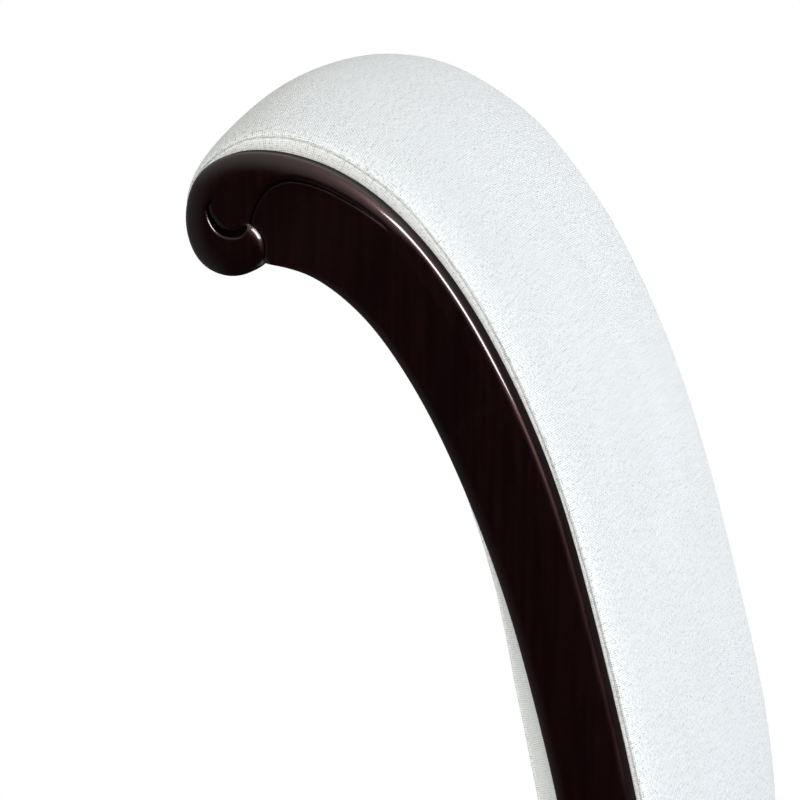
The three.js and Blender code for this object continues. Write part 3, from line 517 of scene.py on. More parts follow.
def rear_leg(name, side, rows, depth):
    """Leg body: the carved face, the edges with their arris, the flat inner face and the foot.

    The face is a grid of straight rows from the facing line to the outline. The edge is swept round
    the outline in four rings, and the inner face steps where the leg grows thicker under the seat.
    """
    outer, inner, notch_row, *_ = rows
    columns = len(FACE_SHARES)
    flat = inner[:, None] + (outer - inner)[:, None] * FACE_SHARES[None, :, None]
    points = [to_world(flat, depth, side).reshape(-1, 3)]
    faces = [grid_faces(len(outer), columns)]
    # Up the outer outline, then back down the rear edge from the notch.
    loop = np.concatenate([
        np.arange(len(outer)) * columns + columns - 1, np.arange(notch_row - 1, -1, -1) * columns])
    line = np.vstack([outer, inner[notch_row - 1::-1]])
    back = LEG_DEPTH + (STILE_DEPTH - LEG_DEPTH) * smooth((line[:, 1] - STEP_AT) / STEP_RUN + 0.5)
    inward = left_of(line, closed=True)
    first, count = len(outer) * columns, len(loop)
    rings = [loop]
    for k, angle in enumerate(np.radians([0, 30, 60, 90])):
        moved = line + inward * INNER_ARRIS * (1 - math.cos(angle))
        points.append(to_world(moved, back - INNER_ARRIS * (1 - math.sin(angle)), side))
        rings.append(first + k * count + np.arange(count))
    for low, high in zip(rings[:-1], rings[1:]):
        faces.append(np.stack([low[:-1], low[1:], high[1:], high[:-1]], axis=-1))
    foot = [*range(columns), *[r[0] for r in rings[1:]], *[r[-1] for r in rings[:0:-1]]]
    above = line[:, 1] > STEP_AT + STEP_RUN * 0.4
    up = int(np.argmax(above))
    down = count - 1 - int(np.argmax(above[::-1]))
    top = rings[-1]
    inner_faces = [
        top[up:down + 1], [top[up - 1], top[up], top[down], top[down + 1]],
        np.concatenate([top[:up], top[down + 1:]]),
    ]
    return body_mesh(name, np.vstack(points), np.vstack(faces), [foot, *inner_faces], weld=2e-6)


class Finish:
    """A shader node group as it is put together, with short ways to add and join its nodes.

    It takes colours, values and vectors, and puts out a colour, a roughness and a height.
    """

    def __init__(self, name, **inputs):
        self.tree = bpy.data.node_groups.new(name, "ShaderNodeTree")
        # An input is a colour, a vector or a value by its number of parts.
        for label, value in inputs.items():
            kind = {4: "Color", 3: "Vector", 1: "Float"}[np.size(value)]
            made = self.tree.interface.new_socket(
                label.replace("_", " "), in_out="INPUT", socket_type="NodeSocket" + kind)
            made.default_value = value
        for label, kind in ("Color", "Color"), ("Roughness", "Float"), ("Height", "Float"):
            self.tree.interface.new_socket(label, in_out="OUTPUT", socket_type="NodeSocket" + kind)
        self.given = self.tree.nodes.new("NodeGroupInput").outputs
        self.leaves = self.tree.nodes.new("NodeGroupOutput").inputs

    def add(self, kind, sockets, **settings):
        """New node of this kind: each socket joined to a source or set, and its outputs."""
        node = self.tree.nodes.new(kind)
        for name, value in settings.items():
            setattr(node, name, value)
        for socket, source in sockets.items():
            if isinstance(source, bpy.types.NodeSocket):
                self.tree.links.new(source, node.inputs[socket])
            else:
                node.inputs[socket].default_value = source
        return node.outputs

    def math(self, operation, first, second=0.0):
        """One sum, product or function of two values."""
        return self.add("ShaderNodeMath", {0: first, 1: second}, operation=operation)[0]

    def noise(self, place, scale, detail=2.0, rough=0.5):
        """Noise from 0 to 1 at a place."""
        return self.add("ShaderNodeTexNoise", {
            "Vector": place, "Scale": scale, "Detail": detail, "Roughness": rough})[0]

    def scaled(self, place, by):
        """A place stretched along each axis."""
        return self.add("ShaderNodeVectorMath", {0: place, 1: by}, operation="MULTIPLY")[0]

    def ease(self, value, low, high, bottom=0.0, top=1.0):
        """Eased step from bottom to top as the value goes from low to high."""
        return self.add("ShaderNodeMapRange", {
            "Value": value, "From Min": low, "From Max": high, "To Min": bottom, "To Max": top,
        }, interpolation_type="SMOOTHSTEP")[0]

    def blend(self, share, first, second):
        """Colour that goes from the first to the second by the share."""
        return self.add("ShaderNodeMix", {0: share, 6: first, 7: second}, data_type="RGBA")[2]

    def two_tone(self, share):
        """Give the colour that goes from Dark to Light by the share."""
        self.give("Color", self.blend(share, self.given["Dark"], self.given["Light"]))

    def give(self, label, source):
        """Put a source out under this label."""
        self.tree.links.new(source, self.leaves[label])


def wood_grain():
    """Grain drawn out along one axis: broad figure, fine lines and open pores, as tone, gloss and height."""
    finish = Finish(
        "wood_grain", Draw_Out=(1, 1, 0.06), Dark=(0, 0, 0, 1), Light=(1, 1, 1, 1), Smooth=0.2, Dull=0.4)
    place = finish.add("ShaderNodeTexCoord", {})["Object"]
    along = finish.scaled(place, finish.given["Draw Out"])
    figure = finish.noise(along, 24.0, 3.0)
    lines = finish.noise(along, 280.0, 3.0, 0.6)
    pores = finish.ease(finish.noise(along, 900.0, 2.0, 0.6), 0.62, 0.72)
    tone = finish.math("ADD", finish.math("MULTIPLY", figure, 0.6), finish.math("MULTIPLY", lines, 0.5))
    tone = finish.math("SUBTRACT", finish.ease(tone, 0.35, 0.75), finish.math("MULTIPLY", pores, 0.45))
    finish.two_tone(tone)
    finish.give("Roughness", finish.ease(lines, 0.3, 0.7, finish.given["Smooth"], finish.given["Dull"]))
    finish.give("Height", finish.math("SUBTRACT", finish.math("MULTIPLY", lines, 0.4), pores))
    return finish.tree


def surfaced(name, group, values, strength, distance, **shader_values):
    """Material that takes colour, roughness and relief from a finish, and all else from plain values."""
    material = bpy.data.materials.new(name)
    material.use_nodes = True
    tree = material.node_tree
    shader = tree.nodes["Principled BSDF"]
    for label, value in shader_values.items():
        shader.inputs[label.replace("_", " ")].default_value = value
    source = tree.nodes.new("ShaderNodeGroup")
    source.node_tree = group
    for label, value in values.items():
        source.inputs[label].default_value = value
    relief = tree.nodes.new("ShaderNodeBump")
    relief.inputs["Strength"].default_value = strength
    relief.inputs["Distance"].default_value = distance
    tree.links.new(source.outputs["Color"], shader.inputs["Base Color"])
    tree.links.new(source.outputs["Roughness"], shader.inputs["Roughness"])
    tree.links.new(source.outputs["Height"], relief.inputs["Height"])
    tree.links.new(relief.outputs[0], shader.inputs["Normal"])
    return material


def mahogany(name, draw_out):
    """Near-black stained mahogany whose grain hardly shows under a gloss coat."""
    return surfaced(name, grain, {
        "Draw Out": draw_out, "Dark": (0.0020, 0.0003, 0.0007, 1), "Light": (0.0044, 0.0006, 0.0011, 1),
        "Smooth": 0.34, "Dull": 0.42,
    }, 0.02, 0.0002, Specular_IOR_Level=0.3, Specular_Tint=(1.0, 0.45, 0.4, 1), Coat_Weight=0.65,
        Coat_Roughness=0.07, Coat_IOR=1.55)


grain = wood_grain()
upright_mahogany = mahogany("mahogany_upright", (1, 1, 0.06))
FACE_SHARES = np.concatenate([
    [0, 0.004, 0.012, 0.024], np.linspace(0.04, 0.72, 46), 1 - 0.27 * np.linspace(1, 0, 38) ** 1.25])
leg_rows = rear_leg_rows()
face = leg_rows[1][:, None] + (leg_rows[0] - leg_rows[1])[:, None] * FACE_SHARES[None, :, None]
face_depth = carved_depth(face.reshape(-1, 2), *leg_rows[3:]).reshape(face.shape[:2])

for side, word in ((1, "left"), (-1, "right")):
    leg = rear_leg(f"rear_leg_and_stile_{word}", side, leg_rows, face_depth)
    leg.data.materials.append(upright_mahogany)
    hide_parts(f"rear_leg_stile_{word}")
    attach(leg, "root")


# Front legs
# Solid mahogany sabre legs, sawn to an arc, with every arris eased by hand. The rails are tenoned
# into them at the top.

FRONT_LEG_BACK = 375.0
FRONT_LEG_FRONT = 415.0
FRONT_TOE = 475.0
FRONT_HEEL = 443.0
LEG_HEAD = 445.0
FRONT_ARRIS = 2.0


def swept_body(name, rows, sharp=60):
    """Closed body from closed sections, row after row, with the first and the last filled in."""
    count, around = rows.shape[:2]
    first = np.arange(around)
    ends = [first, first + (count - 1) * around]
    return body_mesh(name, rows.reshape(-1, 3), grid_faces(count, around, closed=True), ends, sharp=sharp)


def eased_plate(name, side, line, thickness, arris):
    """Plate cut to a closed outline, both its faces meeting the edge in a quarter round.

    Rings of the outline step inward by the round's versed sine at depths that follow its sine.
    """
    inward = left_of(line, closed=True)
    if (line[:, 0] * np.roll(line[:, 1], -1) - np.roll(line[:, 0], -1) * line[:, 1]).sum() < 0:
        inward = -inward
    turn = np.radians([90, 60, 30, 0])
    inset = np.concatenate([[arris + 0.4], arris * (1 - np.cos(turn))])
    depth = np.concatenate([[0.0], arris * (1 - np.sin(turn))])
    inset = np.concatenate([inset, inset[::-1]])
    depth = np.concatenate([depth, thickness - depth[::-1]])
    rings = to_world(line + inward * inset[:, None, None], depth[:, None], side)
    return swept_body(name, rings, sharp=38)


def front_leg_outline():
    """Foot to head along the front arc, across the head with small rounds, and down the back arc."""
    front = sweep(FRONT_LEG_FRONT, FRONT_TOE, 70)
    back = sweep(FRONT_LEG_BACK, FRONT_HEEL, 70)[::-1]
    turn = np.radians(np.linspace(0, 90, 6))
    head = LEG_HEAD - FRONT_ARRIS
    corner = np.column_stack([np.cos(turn), np.sin(turn)]) * FRONT_ARRIS
    before = np.array([FRONT_LEG_FRONT - FRONT_ARRIS, head]) + corner
    after = np.array([FRONT_LEG_BACK + FRONT_ARRIS, head]) + corner[::-1] * (-1, 1)
    rise = np.linspace(LEG_TOP, head, 12)[1:-1]
    return np.vstack([
        front, np.column_stack([np.full(10, FRONT_LEG_FRONT), rise]), before, after,
        np.column_stack([np.full(10, FRONT_LEG_BACK), rise[::-1]]), back])


for side, word in ((1, "left"), (-1, "right")):
    leg = eased_plate(f"front_sabre_leg_{word}", side, front_leg_outline(), LEG_DEPTH, FRONT_ARRIS)
    leg.data.materials.append(upright_mahogany)
    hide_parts(f"front_leg_{word}")
    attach(leg, "root")


# Seat rails
# Mahogany rails with eased arrises, tenoned and glued between the legs, stained and lacquered with
# them. Their grain runs with their length.

lengthwise_mahogany = mahogany("mahogany_side_rails", (1, 0.06, 1))
crosswise_mahogany = mahogany("mahogany_cross_rails", (0.06, 1, 1))


def finish_nodes(material, *names):
    """Give carried-over nodes of the model this material."""
    for name in names:
        mesh = bpy.data.objects[name].data
        mesh.materials.clear()
        mesh.materials.append(material)


finish_nodes(lengthwise_mahogany, "side_rail_left", "side_rail_right")
finish_nodes(crosswise_mahogany, "front_rail", "rear_rail")


# Corner blocks and back rails
# Planed beech, left unfinished inside the seat and the back: blocks glued and screwed into the
# corners of the seat frame, the turned core of the roll and two rails behind the back panel.

def raw_wood(name, draw_out, dark, light):
    """Planed or sanded wood without a finish."""
    return surfaced(name, grain, {
        "Draw Out": draw_out, "Dark": dark, "Light": light, "Smooth": 0.5, "Dull": 0.72,
    }, 0.25, 0.0003, Specular_IOR_Level=0.3)


beech = raw_wood("planed_beech", (0.07, 1, 1), linear(178, 128, 88), linear(214, 172, 128))
finish_nodes(
    beech, "corner_block_front_left", "corner_block_front_right", "corner_block_rear_left",
    "corner_block_rear_right", "back_roll_core", "back_rail_upper", "back_rail_lower")


# Plywood
# Sanded birch plywood: the bent panel behind the back's padding and the board under the seat's.

plywood = raw_wood("sanded_plywood", (1, 1, 0.06), linear(176, 138, 96), linear(216, 184, 142))
seat_plywood = raw_wood("sanded_seat_plywood", (1, 0.06, 1), linear(176, 138, 96), linear(216, 184, 142))
finish_nodes(plywood, "back_panel")
finish_nodes(seat_plywood, "seat_board")


# Screws
# Bright zinc-plated steel screws: two through each corner block into the rails, one up into the board.

def zinc_plate():
    """Zinc's mottled bloom: two noises over the metal, as tone, gloss and a little relief."""
    finish = Finish("zinc_bloom", Dark=(0.4, 0.4, 0.4, 1), Light=(0.6, 0.6, 0.6, 1))
    place = finish.add("ShaderNodeTexCoord", {})["Object"]
    bloom = finish.noise(place, 700.0, 3.0)
    finish.two_tone(finish.ease(bloom, 0.3, 0.7))
    finish.give("Roughness", finish.ease(bloom, 0.3, 0.7, 0.42, 0.26))
    finish.give("Height", finish.noise(place, 2500.0, 1.0))
    return finish.tree


zinc = surfaced("bright_zinc", zinc_plate(), {
    "Dark": linear(150, 152, 156), "Light": linear(200, 203, 208)}, 0.15, 0.0001, Metallic=1.0)
finish_nodes(zinc, *[name for name in cad_nodes if "screw" in name])


# Glides
# Dark moulded nylon discs pinned under the four feet.

def moulded_nylon():
    """Fine moulded grain with faint scuffs."""
    finish = Finish("moulded_nylon", Dark=(0.01, 0.01, 0.01, 1), Light=(0.03, 0.03, 0.03, 1))
    place = finish.add("ShaderNodeTexCoord", {})["Object"]
    scuffs = finish.noise(finish.scaled(place, (1, 6, 1)), 350.0, 3.0)
    finish.two_tone(finish.ease(scuffs, 0.45, 0.75))
    finish.give("Roughness", finish.ease(scuffs, 0.35, 0.7, 0.4, 0.62))
    finish.give("Height", finish.noise(place, 3000.0, 1.0))
    return finish.tree


nylon = surfaced("dark_nylon", moulded_nylon(), {
    "Dark": linear(34, 30, 27), "Light": linear(62, 57, 52)}, 0.2, 0.0001)
finish_nodes(nylon, *[name for name in cad_nodes if name.startswith("glide")])


# Inside back
# Off-white linen stretched over wadding and foam: it starts under the roll, turns over the crest and
# runs down to the seat. Plain-sewn at both sides to the boxings, it is full at the seam, crowned
# between the stiles and arched at the crest.

PAD_ROLL = [
    (-204.8, 823.6), (-211.5, 821.2), (-220.5, 820.4), (-230.3, 822.6), (-238.3, 829), (-244.7, 838.8),
    (-247.3, 851.1), (-243.4, 864.4), (-234, 875.1), (-222.5, 882.6), (-209.2, 885.9),
]
PAD_FRONT = [
    (-193.9, 885.4), (-175.3, 879.9), (-150, 865.2), (-133.2, 851.2), (-115, 829.4), (-97.3, 804),
    (-82.1, 776.1), (-64.5, 737), (-49.6, 695.3), (-38.1, 656.4), (-29.8, 624.5), (-14.6, 561.5),
    (-4.2, 504.9), (0.5, 452),
]
PAD_TUCK = [(1.7, -1.3), (1.3, -0.75), (0.8, -0.35), (0.35, 0.05), (0.1, 0.4)]
ROLL_SHARE = 13 / 34
FRONT_SHARE = 14 / 34
ROLL_CENTRE = (-220.5, 841.7)
CORE_RADIUS = 14.9
PANEL_DEPTH = 16.4
CROWN = 8.5
SHOULDER = 5.8
SHOULDER_REACH = 38.0
BOW = 4.0
ARCH = 10.0
LEAN = 1.0
SEAM_HEIGHT = 0.8
COVER_EDGE = 20.5
COVER_BACK = 22.2
PAD_HALF = 208.0
PLAIN_STEPS = 41
CREST_SHARE = 0.38
CROWN_POWER = 4.5
GATHER = 0.12
SETTLE = 0.3
THREAD = 0.00115


def seam_line():
    """The pad's seam on the stile: points [u, z], the side facing out, and shares from roll to seat."""
    controls = np.array(PAD_ROLL + PAD_FRONT, float)
    line = spline(controls, 2.6)
    run = run_of(line)
    at = nearest(controls, line)[1]
    count = len(PAD_ROLL)
    front = (at[count:] - at[count]) / (at[-1] - at[count])
    shares = np.concatenate([
        ROLL_SHARE * np.arange(count) / (count - 1), FRONT_SHARE + (1 - FRONT_SHARE) * front])
    return line, left_of(line), np.interp(run, at, shares), run


def forward_of(u, depth):
    """Distance straight forward of the datum of a point at u on a side frame, at a depth in it."""
    return u * math.cos(SPLAY) + depth * math.sin(SPLAY)


def half_between(q, depth):
    """Half the width between the side frames at a depth in them."""
    u = (q - depth * math.sin(SPLAY)) / math.cos(SPLAY)
    return HALF_WIDTH + u * math.sin(SPLAY) - depth * math.cos(SPLAY)


def lay_cloth(piece, across, along):
    """Lay the weave on a piece: a UV map in metres, from each point's way across and along the cloth."""
    layer = piece.data.uv_layers.new(name="cloth")
    corners = np.empty(len(piece.data.loops), int)
    piece.data.loops.foreach_get("vertex_index", corners)
    laid = np.column_stack([across.ravel()[corners], along.ravel()[corners]])
    layer.data.foreach_set("uv", laid.astype(np.float32).ravel())


def inside_back_rows():
    """Sections of the pad from under the roll to the seat, and the cloth's way across and along them.

    The seam line is pushed out by a quarter-ellipse shoulder at its edges and by a crown that falls
    as the 4.5th power of the way to the side, then bowed back and arched up by one less that way
    squared, and gathered in small ripples at the seam. Both grow in two eased steps from under the
    roll, and the arch is an eased hump at the crest. The back of a section is straight, on the core
    or the panel.
    """
    line, out, share, run = seam_line()
    share, length = share[:, None], run[:, None]
    q, z = forward_of(line[:, :1], STILE_DEPTH), line[:, 1:]
    # Half a section from the seam: [in from the edge, up], tucked in, then round the shoulder.
    turn = np.radians(np.linspace(0, 90, 19))
    shoulder = np.column_stack([
        SHOULDER_REACH * (1 - np.cos(turn)), SEAM_HEIGHT + (SHOULDER - SEAM_HEIGHT) * np.sin(turn)])
    plain = np.linspace(SHOULDER_REACH, PAD_HALF, PLAIN_STEPS + 1)[1:]
    section = np.vstack([PAD_TUCK, shoulder, np.column_stack([plain, np.full(PLAIN_STEPS, SHOULDER)])])
    section = np.vstack([section * (-1, 1), section[-2::-1]])
    from_edge, bulge = np.abs(section[:, 0]), section[:, 1]
    half_way = len(section) // 2 + 1
    way = np.concatenate([-section[:half_way, 0] - PAD_HALF, PAD_HALF - section[half_way:, 0]])
    way = way[None, :] / PAD_HALF
    half = half_between(q, COVER_EDGE)
    across = way * half
    rise = 0.5 * smooth(share / 0.08) + 0.5 * smooth((share - 0.24) / 0.16)
    fall = 0.8 + 0.2 * smooth((1 - share) / 0.12)
    top = 1 - smooth(np.abs(share - CREST_SHARE) / np.where(share < CREST_SHARE, 0.22, 0.26))
    crown = (CROWN - SHOULDER) * (1 - np.abs(way) ** CROWN_POWER)
    gathers = GATHER * np.exp(-from_edge / 8) * smooth(from_edge / 2) * (
        np.sin(length / 2.3 + np.sin(length / 11)) + 0.7 * np.sin(length / 4.1 + way))
    settled = SETTLE * np.sin(across / 46 + 0.9 + length / 90) * np.sin(length / 61 + 1.1 + across / 130)
    full = rise * fall
    lift = np.minimum(bulge, 0) + full * (np.maximum(bulge, 0) + crown + gathers + settled * (1 - way ** 6))
    round_off = 1 - way ** 2
    q_out = q + out[:, :1] * lift - (BOW * full + LEAN * top) * round_off
    z_out = z + out[:, 1:] * lift + ARCH * round_off * top
    outer = np.stack(np.broadcast_arrays(across, DATUM - q_out, z_out), axis=-1)

    panel = spline([(0.5, 450), *FRONT_EDGE], count=60)
    panel = (panel + left_of(panel) * PANEL_DEPTH)[::-1]
    turn = np.radians(np.linspace(-62, -300, 40))
    core = np.array(ROLL_CENTRE) + CORE_RADIUS * np.column_stack([np.cos(turn), np.sin(turn)])
    shares = np.concatenate([np.linspace(0, ROLL_SHARE, 40), np.linspace(FRONT_SHARE, 1, 60)])
    behind = np.vstack([core, panel])
    u_back, z_back = (np.interp(share[:, 0], shares, behind[:, i]) for i in (0, 1))
    q_back = forward_of(u_back, STILE_DEPTH)
    wide = half_between(q_back, COVER_BACK)
    ends = [np.stack([s * wide, DATUM - q_back, z_back], axis=-1)[:, None] for s in (1, -1)]
    rows = np.concatenate([outer, *ends], axis=1) / 1000
    return rows, *cloth_ways(rows)


def cloth_ways(rows):
    """How far each point lies across and along the cloth, measured on the surface from its middle."""
    steps = np.linalg.norm(np.diff(rows, axis=1), axis=2)
    across = np.concatenate([np.zeros((len(rows), 1)), np.cumsum(steps, axis=1)], axis=1)
    middle = rows.shape[1] // 2
    across -= across[:, middle:middle + 1]
    along = np.broadcast_to(run_of(rows[:, middle])[:, None], across.shape)
    return across, along


def linen_weave():
    """Plain weave on the piece's own UV map in metres.

    Warp and weft are rounded threads, over and under by the product of their sines. Each thread
    thickens and thins along its length, a few swell into slubs, and dark flecks are caught in them.
    """
    finish = Finish(
        "linen_weave", Thread=(0.8, 0.8, 0.8, 1), Gap=(0.6, 0.6, 0.6, 1), Fleck=(0.4, 0.38, 0.3, 1))
    place = finish.add("ShaderNodeUVMap", {}, uv_map="cloth")[0]
    split = finish.add("ShaderNodeSeparateXYZ", {0: place})
    count = 1 / THREAD

    def thread_wave(way, drift):
        """Sine that changes sign from thread to thread, swayed by a slow noise."""
        sway = finish.math("MULTIPLY", finish.noise(finish.scaled(place, drift), 1.0), 1.4)
        turns = finish.math("ADD", finish.math("MULTIPLY", way, count), sway)
        return finish.math("SINE", finish.math("MULTIPLY", turns, math.pi))

    def thickness(stretch, scale, low, high, thin, thick):
        """Noise drawn out along a thread, eased between two values."""
        return finish.ease(finish.noise(finish.scaled(place, stretch), scale, 1.0), low, high, thin, thick)

    warp_wave = thread_wave(split[0], (14, 150, 1))
    weft_wave = thread_wave(split[1], (150, 14, 1))
    warp = finish.math("MULTIPLY", finish.math("ABSOLUTE", warp_wave), thickness(
        (count, 30, 1), 1.0, 0.3, 0.7, 0.68, 1.15))
    weft = finish.math("MULTIPLY", finish.math("ABSOLUTE", weft_wave), thickness(
        (30, count, 1), 1.0, 0.3, 0.7, 0.68, 1.15))
    over = finish.ease(finish.math("MULTIPLY", warp_wave, weft_wave), -0.35, 0.35)
    height = finish.add("ShaderNodeMix", {0: over, 2: weft, 3: warp})[0]
    slubs = finish.math("MAXIMUM", thickness((count, 80, 1), 0.6, 0.68, 0.8, 0, 1), thickness(
        (80, count, 1), 0.6, 0.68, 0.8, 0, 1))
    flecks = thickness((420, 420, 1), 1.0, 0.7, 0.78, 0, 0.65)
    open_weave = finish.math("MULTIPLY", finish.ease(height, 0.1, 0.8, 1, 0), thickness(
        (520, 520, 1), 1.0, 0.42, 0.68, 0, 0.9))
    shade = finish.ease(finish.noise(finish.scaled(place, (9, 9, 1)), 1.0, 3.0), 0.3, 0.7, 0.0, 0.12)
    cloth = finish.blend(finish.ease(height, 0.1, 0.75), finish.given["Gap"], finish.given["Thread"])
    cloth = finish.blend(shade, cloth, finish.given["Gap"])
    cloth = finish.blend(open_weave, cloth, finish.given["Fleck"])
    finish.give("Color", finish.blend(flecks, cloth, finish.given["Fleck"]))
    finish.give("Roughness", finish.ease(height, 0.0, 1.0, 0.95, 0.8))
    finish.give("Height", finish.math("ADD", height, finish.math("MULTIPLY", slubs, 0.7)))
    return finish.tree


weave = linen_weave()
linen = surfaced("off_white_linen", weave, {
    "Thread": linear(239, 242, 243), "Gap": linear(205, 208, 206), "Fleck": linear(128, 126, 116),
}, 0.5, 0.00025, Specular_IOR_Level=0.2, Sheen_Weight=0.12, Sheen_Roughness=0.5)

pad_rows, cloth_across, cloth_along = inside_back_rows()
inside_back = swept_body("inside_back", pad_rows)
lay_cloth(inside_back, cloth_across, cloth_along)
inside_back.data.materials.append(linen)
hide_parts("back_inside_cover", "back_foam")
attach(inside_back, "root")
inside_back.visible_glossy = False


# Boxings
# Narrow strips of the same linen down both sides of the pad, lying against the stiles. The plain
# seam that joins them to the inside back turns their upper edge into a soft rim.

BOXING_FROM = 0.02
BOXING_WIDTH = 17.0
BOXING_NARROWS = 9.0  # by so much round the roll
BOXING_IN = 20.3
BOXING_PULL = 0.06

# A lighter copy of the same linen: painted light that brightens the strips where they lie in shade beside the
# stiles, with less of the dark between the threads showing.
lightened_linen = surfaced("off_white_linen_painted_lighter", weave, {
    "Thread": linear(242, 244, 245), "Gap": linear(220, 222, 221), "Fleck": linear(160, 159, 152),
}, 0.5, 0.0002, Specular_IOR_Level=0.2, Sheen_Weight=0.12, Sheen_Roughness=0.5)


def boxing_rows(side):
    """Sections of a strip 1.4 mm thick, straight in the stile's plane under a half-round rim."""
    line, out, share, run = seam_line()
    keep = share > BOXING_FROM
    line, out, run, share = line[keep], out[keep], run[keep], share[keep]
    wide = np.concatenate([np.linspace(1, 0, 9), np.zeros(6), np.linspace(0, 1, 8)])
    rim = 0.4 + np.concatenate([np.full(9, 1.4), [0.7, 0.3, 0.08, 0, 0.1, 0.5], np.full(8, 1.6)])
    depth = BOXING_IN + np.concatenate([np.zeros(9), [0.04, 0.16, 0.45, 0.9, 1.3, 1.5], np.full(8, 1.4)])
    width = BOXING_WIDTH - BOXING_NARROWS * (1 - smooth((share - 0.28) / 0.12))
    below = rim + wide * width[:, None]
    pull = np.sin(run / 3.1 + np.sin(run / 13))[:, None] * np.sin(np.linspace(0, math.pi, len(rim)))
    points = line[:, None] - out[:, None] * (below + BOXING_PULL * pull)[..., None]
    rows = to_world(points, depth, side)
    return rows, -below / 1000, np.broadcast_to(run[:, None] / 1000, below.shape)


for side, word in ((1, "left"), (-1, "right")):
    rows, across, along = boxing_rows(side)
    boxing = swept_body(f"boxing_strip_{word}", rows)
    lay_cloth(boxing, across, along)
    boxing.data.materials.append(lightened_linen)
    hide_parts(f"back_boxing_{word}")
    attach(boxing, "root")
    boxing.visible_glossy = False


# Outside back
# The same linen stretched over the rear of the frame from under the roll to the rear rail, its sides
# turned in along the stiles and blind-tacked.

OUTSIDE_BACK = [
    (-196.5, 820.4), (-174, 814), (-152.5, 797.2), (-135.5, 772), (-119.5, 745), (-102.6, 704), (-88.6, 660),
    (-78.2, 610.4), (-69.8, 570), (-58, 507), (-46.7, 445.6),
]
OUTSIDE_CROWN = 2.0
OUTSIDE_RETURNS = (8.0, 21.0)  # depth of the turned-in sides, at the roll and lower down
OUTSIDE_THICK = 1.4
OUTSIDE_ROUND = 1.5
OUTSIDE_DRAWN = 0.15
OUTSIDE_MIDDLE = 36  # the column halfway across


def outside_back_rows():
    """Sections of the rear cover, and the cloth's way across and along them.

    It is bellied out by a sine down the back and a parabola across it, its edges rounded over by a
    quarter circle into the returns, with faint puckers by sines along them.
    """
    line = spline(OUTSIDE_BACK, 3.5)
    run = run_of(line)
    out = left_of(line)
    way = np.concatenate([[-1], np.linspace(-0.992, 0.992, 2 * OUTSIDE_MIDDLE - 1), [1]])
    share = (run / run[-1])[:, None]
    q, z = forward_of(line[:, :1], STILE_DEPTH), line[:, 1:]
    half = half_between(q, BOXING_IN)
    in_from_edge = (1 - np.abs(way)) * half
    belly = -OUTSIDE_CROWN * np.sin(math.pi * share) * (1 - way ** 2)
    belly = belly + roll(in_from_edge, OUTSIDE_ROUND, OUTSIDE_ROUND)
    drawn = OUTSIDE_DRAWN * np.sin(run / 5.2 + np.sin(run / 17))[:, None]
    drawn = drawn * np.exp(-in_from_edge / 14) * smooth(in_from_edge / 3)

    def placed(x, lift):
        """World points of the sections at x, lifted inwards."""
        points = (x, DATUM - (q + out[:, :1] * lift), z + out[:, 1:] * lift)
        return np.stack(np.broadcast_arrays(*points), axis=-1)

    inner_half = half - OUTSIDE_THICK
    shallow, deep = OUTSIDE_RETURNS
    returned = shallow + (deep - shallow) * smooth(share / 0.2)
    inside_round = np.array([[OUTSIDE_THICK + OUTSIDE_ROUND]])
    edges = [(half, returned), (inner_half, returned), (inner_half, inside_round)]
    edges += [(-x, lift) for x, lift in reversed(edges)]
    rows = np.concatenate([
        placed(way * half, belly + drawn), *(placed(x, lift) for x, lift in edges)], axis=1) / 1000
    return rows, *cloth_ways(rows)


rows, across, along = outside_back_rows()
outside_back = swept_body("outside_back", rows)
lay_cloth(outside_back, across, along)
outside_back.data.materials.append(linen)
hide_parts("back_outside_cover")
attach(outside_back, "root")


# Slip seat
# A foam-topped plywood board wrapped in the same linen, drawn in a little at the sides, pleated at
# the corners and turned under the board. It drops between the rails and is screwed from below. The
# cover is blown up and pulled tight as cloth.

SEAT_BACK = 7.5
SEAT_FRONT = 386.5
SEAT_DEPTH_IN = 28.8
SEAT_CORNER = 22.0
SEAT_EDGE = 470.0
SEAT_CROWN = 16.0
SEAT_SHOULDER = 15.0
SEAT_SWELL = 5.0
SEAT_SIDE = [(0.1, 452.5), (0.6, 450), (1.2, 448), (1.6, 446.6)]
SEAT_UNDER = [
    (0.9, 445.9), (0, 445.3), (0, 441), (0, 437), (0, 433.1), (0.44, 432), (1.5, 431.6), (5, 431.6),
    (9, 431.6), (13, 431.6), (16.5, 431.6), (16.8, 432.3), (16.5, 433), (9, 433), (1.9, 433), (1.9, 439),
    (1.9, 445.6),
]
SEAT_RINGS = 42
SHOULDER_RINGS = 7
CORNER_STEPS = 9
CROWN_SQUARENESS = 2.4
PLEAT_DEPTH = 1.6
PLEAT_AT = 6.0  # from the corner, both ways
PLEAT_WIDTH = 1.7
PLEAT_RISE = 13.0
CLOTH_MOMENTS = 20
SEAT_MIDDLE = (SEAT_BACK + SEAT_FRONT) / 2
SEAT_HALF = (SEAT_FRONT - SEAT_BACK) / 2


